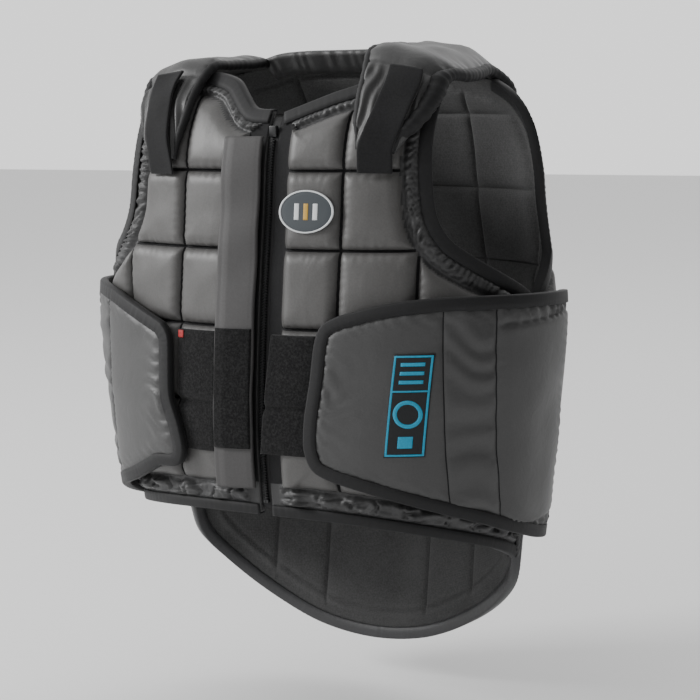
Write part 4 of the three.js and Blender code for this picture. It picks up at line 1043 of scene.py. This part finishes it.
for side, word in ((1, "left"), (-1, "right")):
    mirror = np.array([side, 1, 1])
    # the left pad tips down towards the arm; the right one lies lower
    lean = np.array([5.0, 0, -1.0 if side > 0 else -7.0])
    tip_down = 0.12 if side > 0 else 0

    def settle(points, amount=1.0):
        moved = points * mirror + lean * amount
        moved[:, 2] -= tip_down * amount * (moved[:, 0] - 128)
        return moved

    def pad_place(s, t):
        along = s * PAD.length
        middle, sideways, outwards, half, crown, thick = PAD.at(along)
        angle = t * 2 * math.pi
        cos, sin = np.cos(angle), np.sin(angle)
        share = np.sign(cos) * np.abs(cos) ** 0.62
        level = 0.45 + np.where(sin > 0, 0.55, 0.45) * np.sign(sin) * np.abs(sin) ** 0.62
        on_top = np.clip(sin * 2, 0, 1)
        tongue = np.clip((PAD_SEAM_AT - along) / 8, 0, 1)
        # pleats run down the tongue beside the strap
        pleats = np.sin(share * half * 2 * math.pi / 9 + 2.2 * wave(along, share * half, 81 + side, 40.0))
        pleats = pleats * tongue * 1.5
        # over the shoulder the satin lies smooth, pulled at its edges
        pulled = np.sin(along * 2 * math.pi / 12 + 2.5 * wave(along, along * 0, 82, 36.0))
        pulled = pulled * (1 - tongue) * np.abs(share) ** 4 * 0.9
        soft_dents = 1.1 * wave(along, share * half, 83 + side, 38.0)
        seam = -3.0 * np.exp(-((along - PAD_SEAM_AT) / 1.8) ** 2)
        sag = 3.0 * np.clip(share, 0, 1) ** 2 * (1 - tongue)
        height = level * thick - crown * share ** 2 - sag + on_top * (pleats + pulled + soft_dents + seam)
        return settle(middle + sideways * (share * half)[:, None] + outwards * height[:, None])

    piece = swept(f"shoulder_pad_cover_{word}", [PAD_SATIN], pad_place, 130, 80)
    dress(piece, [f"shoulder_pad_{word}"])

    for edge, radius, label in ((1, 5.6, "outer"), (-1, 4.4, "inner")):
        def roll_place(s, t, edge=edge, radius=radius):
            middle, sideways, outwards, half, crown, thick = PAD.at(s * PAD.length)
            angle = t * 2 * math.pi
            along = s * PAD.length
            thin = np.clip(np.minimum(s, 1 - s) * 12, 0.6, 1) * (0.7 + 0.3 * thick / PAD_THICK)
            crimp = np.sin(along * 2 * math.pi / 7 + 2 * wave(along, along * 0, 85, 30.0))
            puff = radius * thin * (1 + 0.06 * crimp)
            # the arm side of the left pad's tongue rolls over into one thick dark edge
            rolled = np.clip((PAD_SEAM_AT + 12 - along) / 14, 0, 1) * (edge > 0) * (side > 0)
            puff = puff * (1 + 0.5 * rolled)
            across = edge * (half - 1.0 - 4.5 * rolled) + np.cos(angle) * puff
            height = 0.42 * thick - crown + np.sin(angle) * puff - (2.0 if edge > 0 else 0.0) + 3.5 * rolled
            return settle(middle + sideways * across[:, None] + outwards * height[:, None])

        dress(swept(f"pad_{label}_roll_{word}", [TAPE], roll_place, 110, 16), [])

    def strap_place(s, t):
        middle, sideways, outwards, half, crown, thick = STRAP.at(s * STRAP.length)
        knots = np.array([0, 0.06, 0.1, 0.3, 0.5, 0.54, 0.6, 0.8, 1.0])
        share = np.interp(t, knots, [-1, -1, -0.94, 0, 0.94, 1, 1, 0, -1])
        level = np.interp(t, knots, [0, 0.8, 1, 1, 1, 0.8, 0, 0, 0])
        bow = 0.5 * wave(s * STRAP.length, share * 15, 87 + side, 40.0) * level
        height = np.clip(thick, 0, None) + 0.8 + 2.2 * level + bow
        slide = np.stack([side * (3.0 + 5.0 * s), 0 * s, 0 * s], axis=1)
        across = sideways * (share * 15.5)[:, None]
        return settle(middle + across + outwards * height[:, None], 0.3) + slide * side

    strap = swept(f"strap_pile_{word}", [STRAP_CLOTH], strap_place, 60, 40)
    dress(strap, [f"shoulder_strap_{word}"])


# Camera, floor and light
TARGET = Vector((0, 0, -0.25))
AZIMUTH, ELEVATION, ROLL = math.radians(32), math.radians(9), math.radians(-2)
level_part = math.cos(ELEVATION)
behind = Vector((math.sin(AZIMUTH) * level_part, -math.cos(AZIMUTH) * level_part, math.sin(ELEVATION)))
flat_right = Vector((math.cos(AZIMUTH), math.sin(AZIMUTH), 0))
flat_up = behind.cross(flat_right)
right = flat_right * math.cos(ROLL) + flat_up * math.sin(ROLL)
up = flat_up * math.cos(ROLL) - flat_right * math.sin(ROLL)
camera_data = bpy.data.cameras.new("camera")
camera = bpy.data.objects.new("camera", camera_data)
bpy.context.scene.collection.objects.link(camera)
camera_data.sensor_width = 36
camera_data.lens = 1.08 * 1900 / 700 * 36
centre = TARGET + right * (0.0234 / 1.08) - up * (0.0146 / 1.08)
turn = Matrix((right, up, behind)).transposed().to_4x4()
camera.matrix_world = Matrix.Translation(centre + behind * 1.9) @ turn
bpy.context.scene.camera = camera

bm = bmesh.new()
bmesh.ops.create_grid(bm, x_segments=2, y_segments=2, size=6)
bmesh.ops.translate(bm, verts=bm.verts, vec=(0, 0, -0.60))
PAPER = plastic("matt_white_floor", "f2f2f2", 0.8)
floor = finish_mesh(bm, "floor", [PAPER], smooth=False)


def soft_light(name, place, size, power):
    data = bpy.data.lights.new(name, "AREA")
    data.shape = "SQUARE"
    data.size = size
    data.energy = power
    lamp = bpy.data.objects.new(name, data)
    lamp.location = place
    lamp.rotation_euler = (TARGET - Vector(place)).to_track_quat("-Z", "Y").to_euler()
    bpy.context.scene.collection.objects.link(lamp)


soft_light("key", (-2.45, -1.6, 1.3), 0.9, 88)
soft_light("fill", (2.2, -2.2, 0.5), 1.4, 3)
soft_light("back", (0.5, 2.4, 1.8), 1.6, 14)
world = bpy.data.worlds.new("studio")
bpy.context.scene.world = world
world.use_nodes = True
where = world.node_tree.nodes.new("ShaderNodeTexCoord")
towards = world.node_tree.nodes.new("ShaderNodeVectorMath")
towards.operation = "DOT_PRODUCT"
towards.inputs[1].default_value = Vector((-0.93, 0.30, 0.22)).normalized()
level = world.node_tree.nodes.new("ShaderNodeMapRange")
level.interpolation_type = "SMOOTHSTEP"
for socket, value in (("From Min", -0.8), ("From Max", 0.55), ("To Min", 0.16), ("To Max", 1.35)):
    level.inputs[socket].default_value = value
studio = world.node_tree.nodes["Background"]
studio.inputs["Color"].default_value = (1, 1, 1, 1)
world.node_tree.links.new(where.outputs["Generated"], towards.inputs[0])
world.node_tree.links.new(towards.outputs["Value"], level.inputs["Value"])
world.node_tree.links.new(level.outputs["Result"], studio.inputs["Strength"])
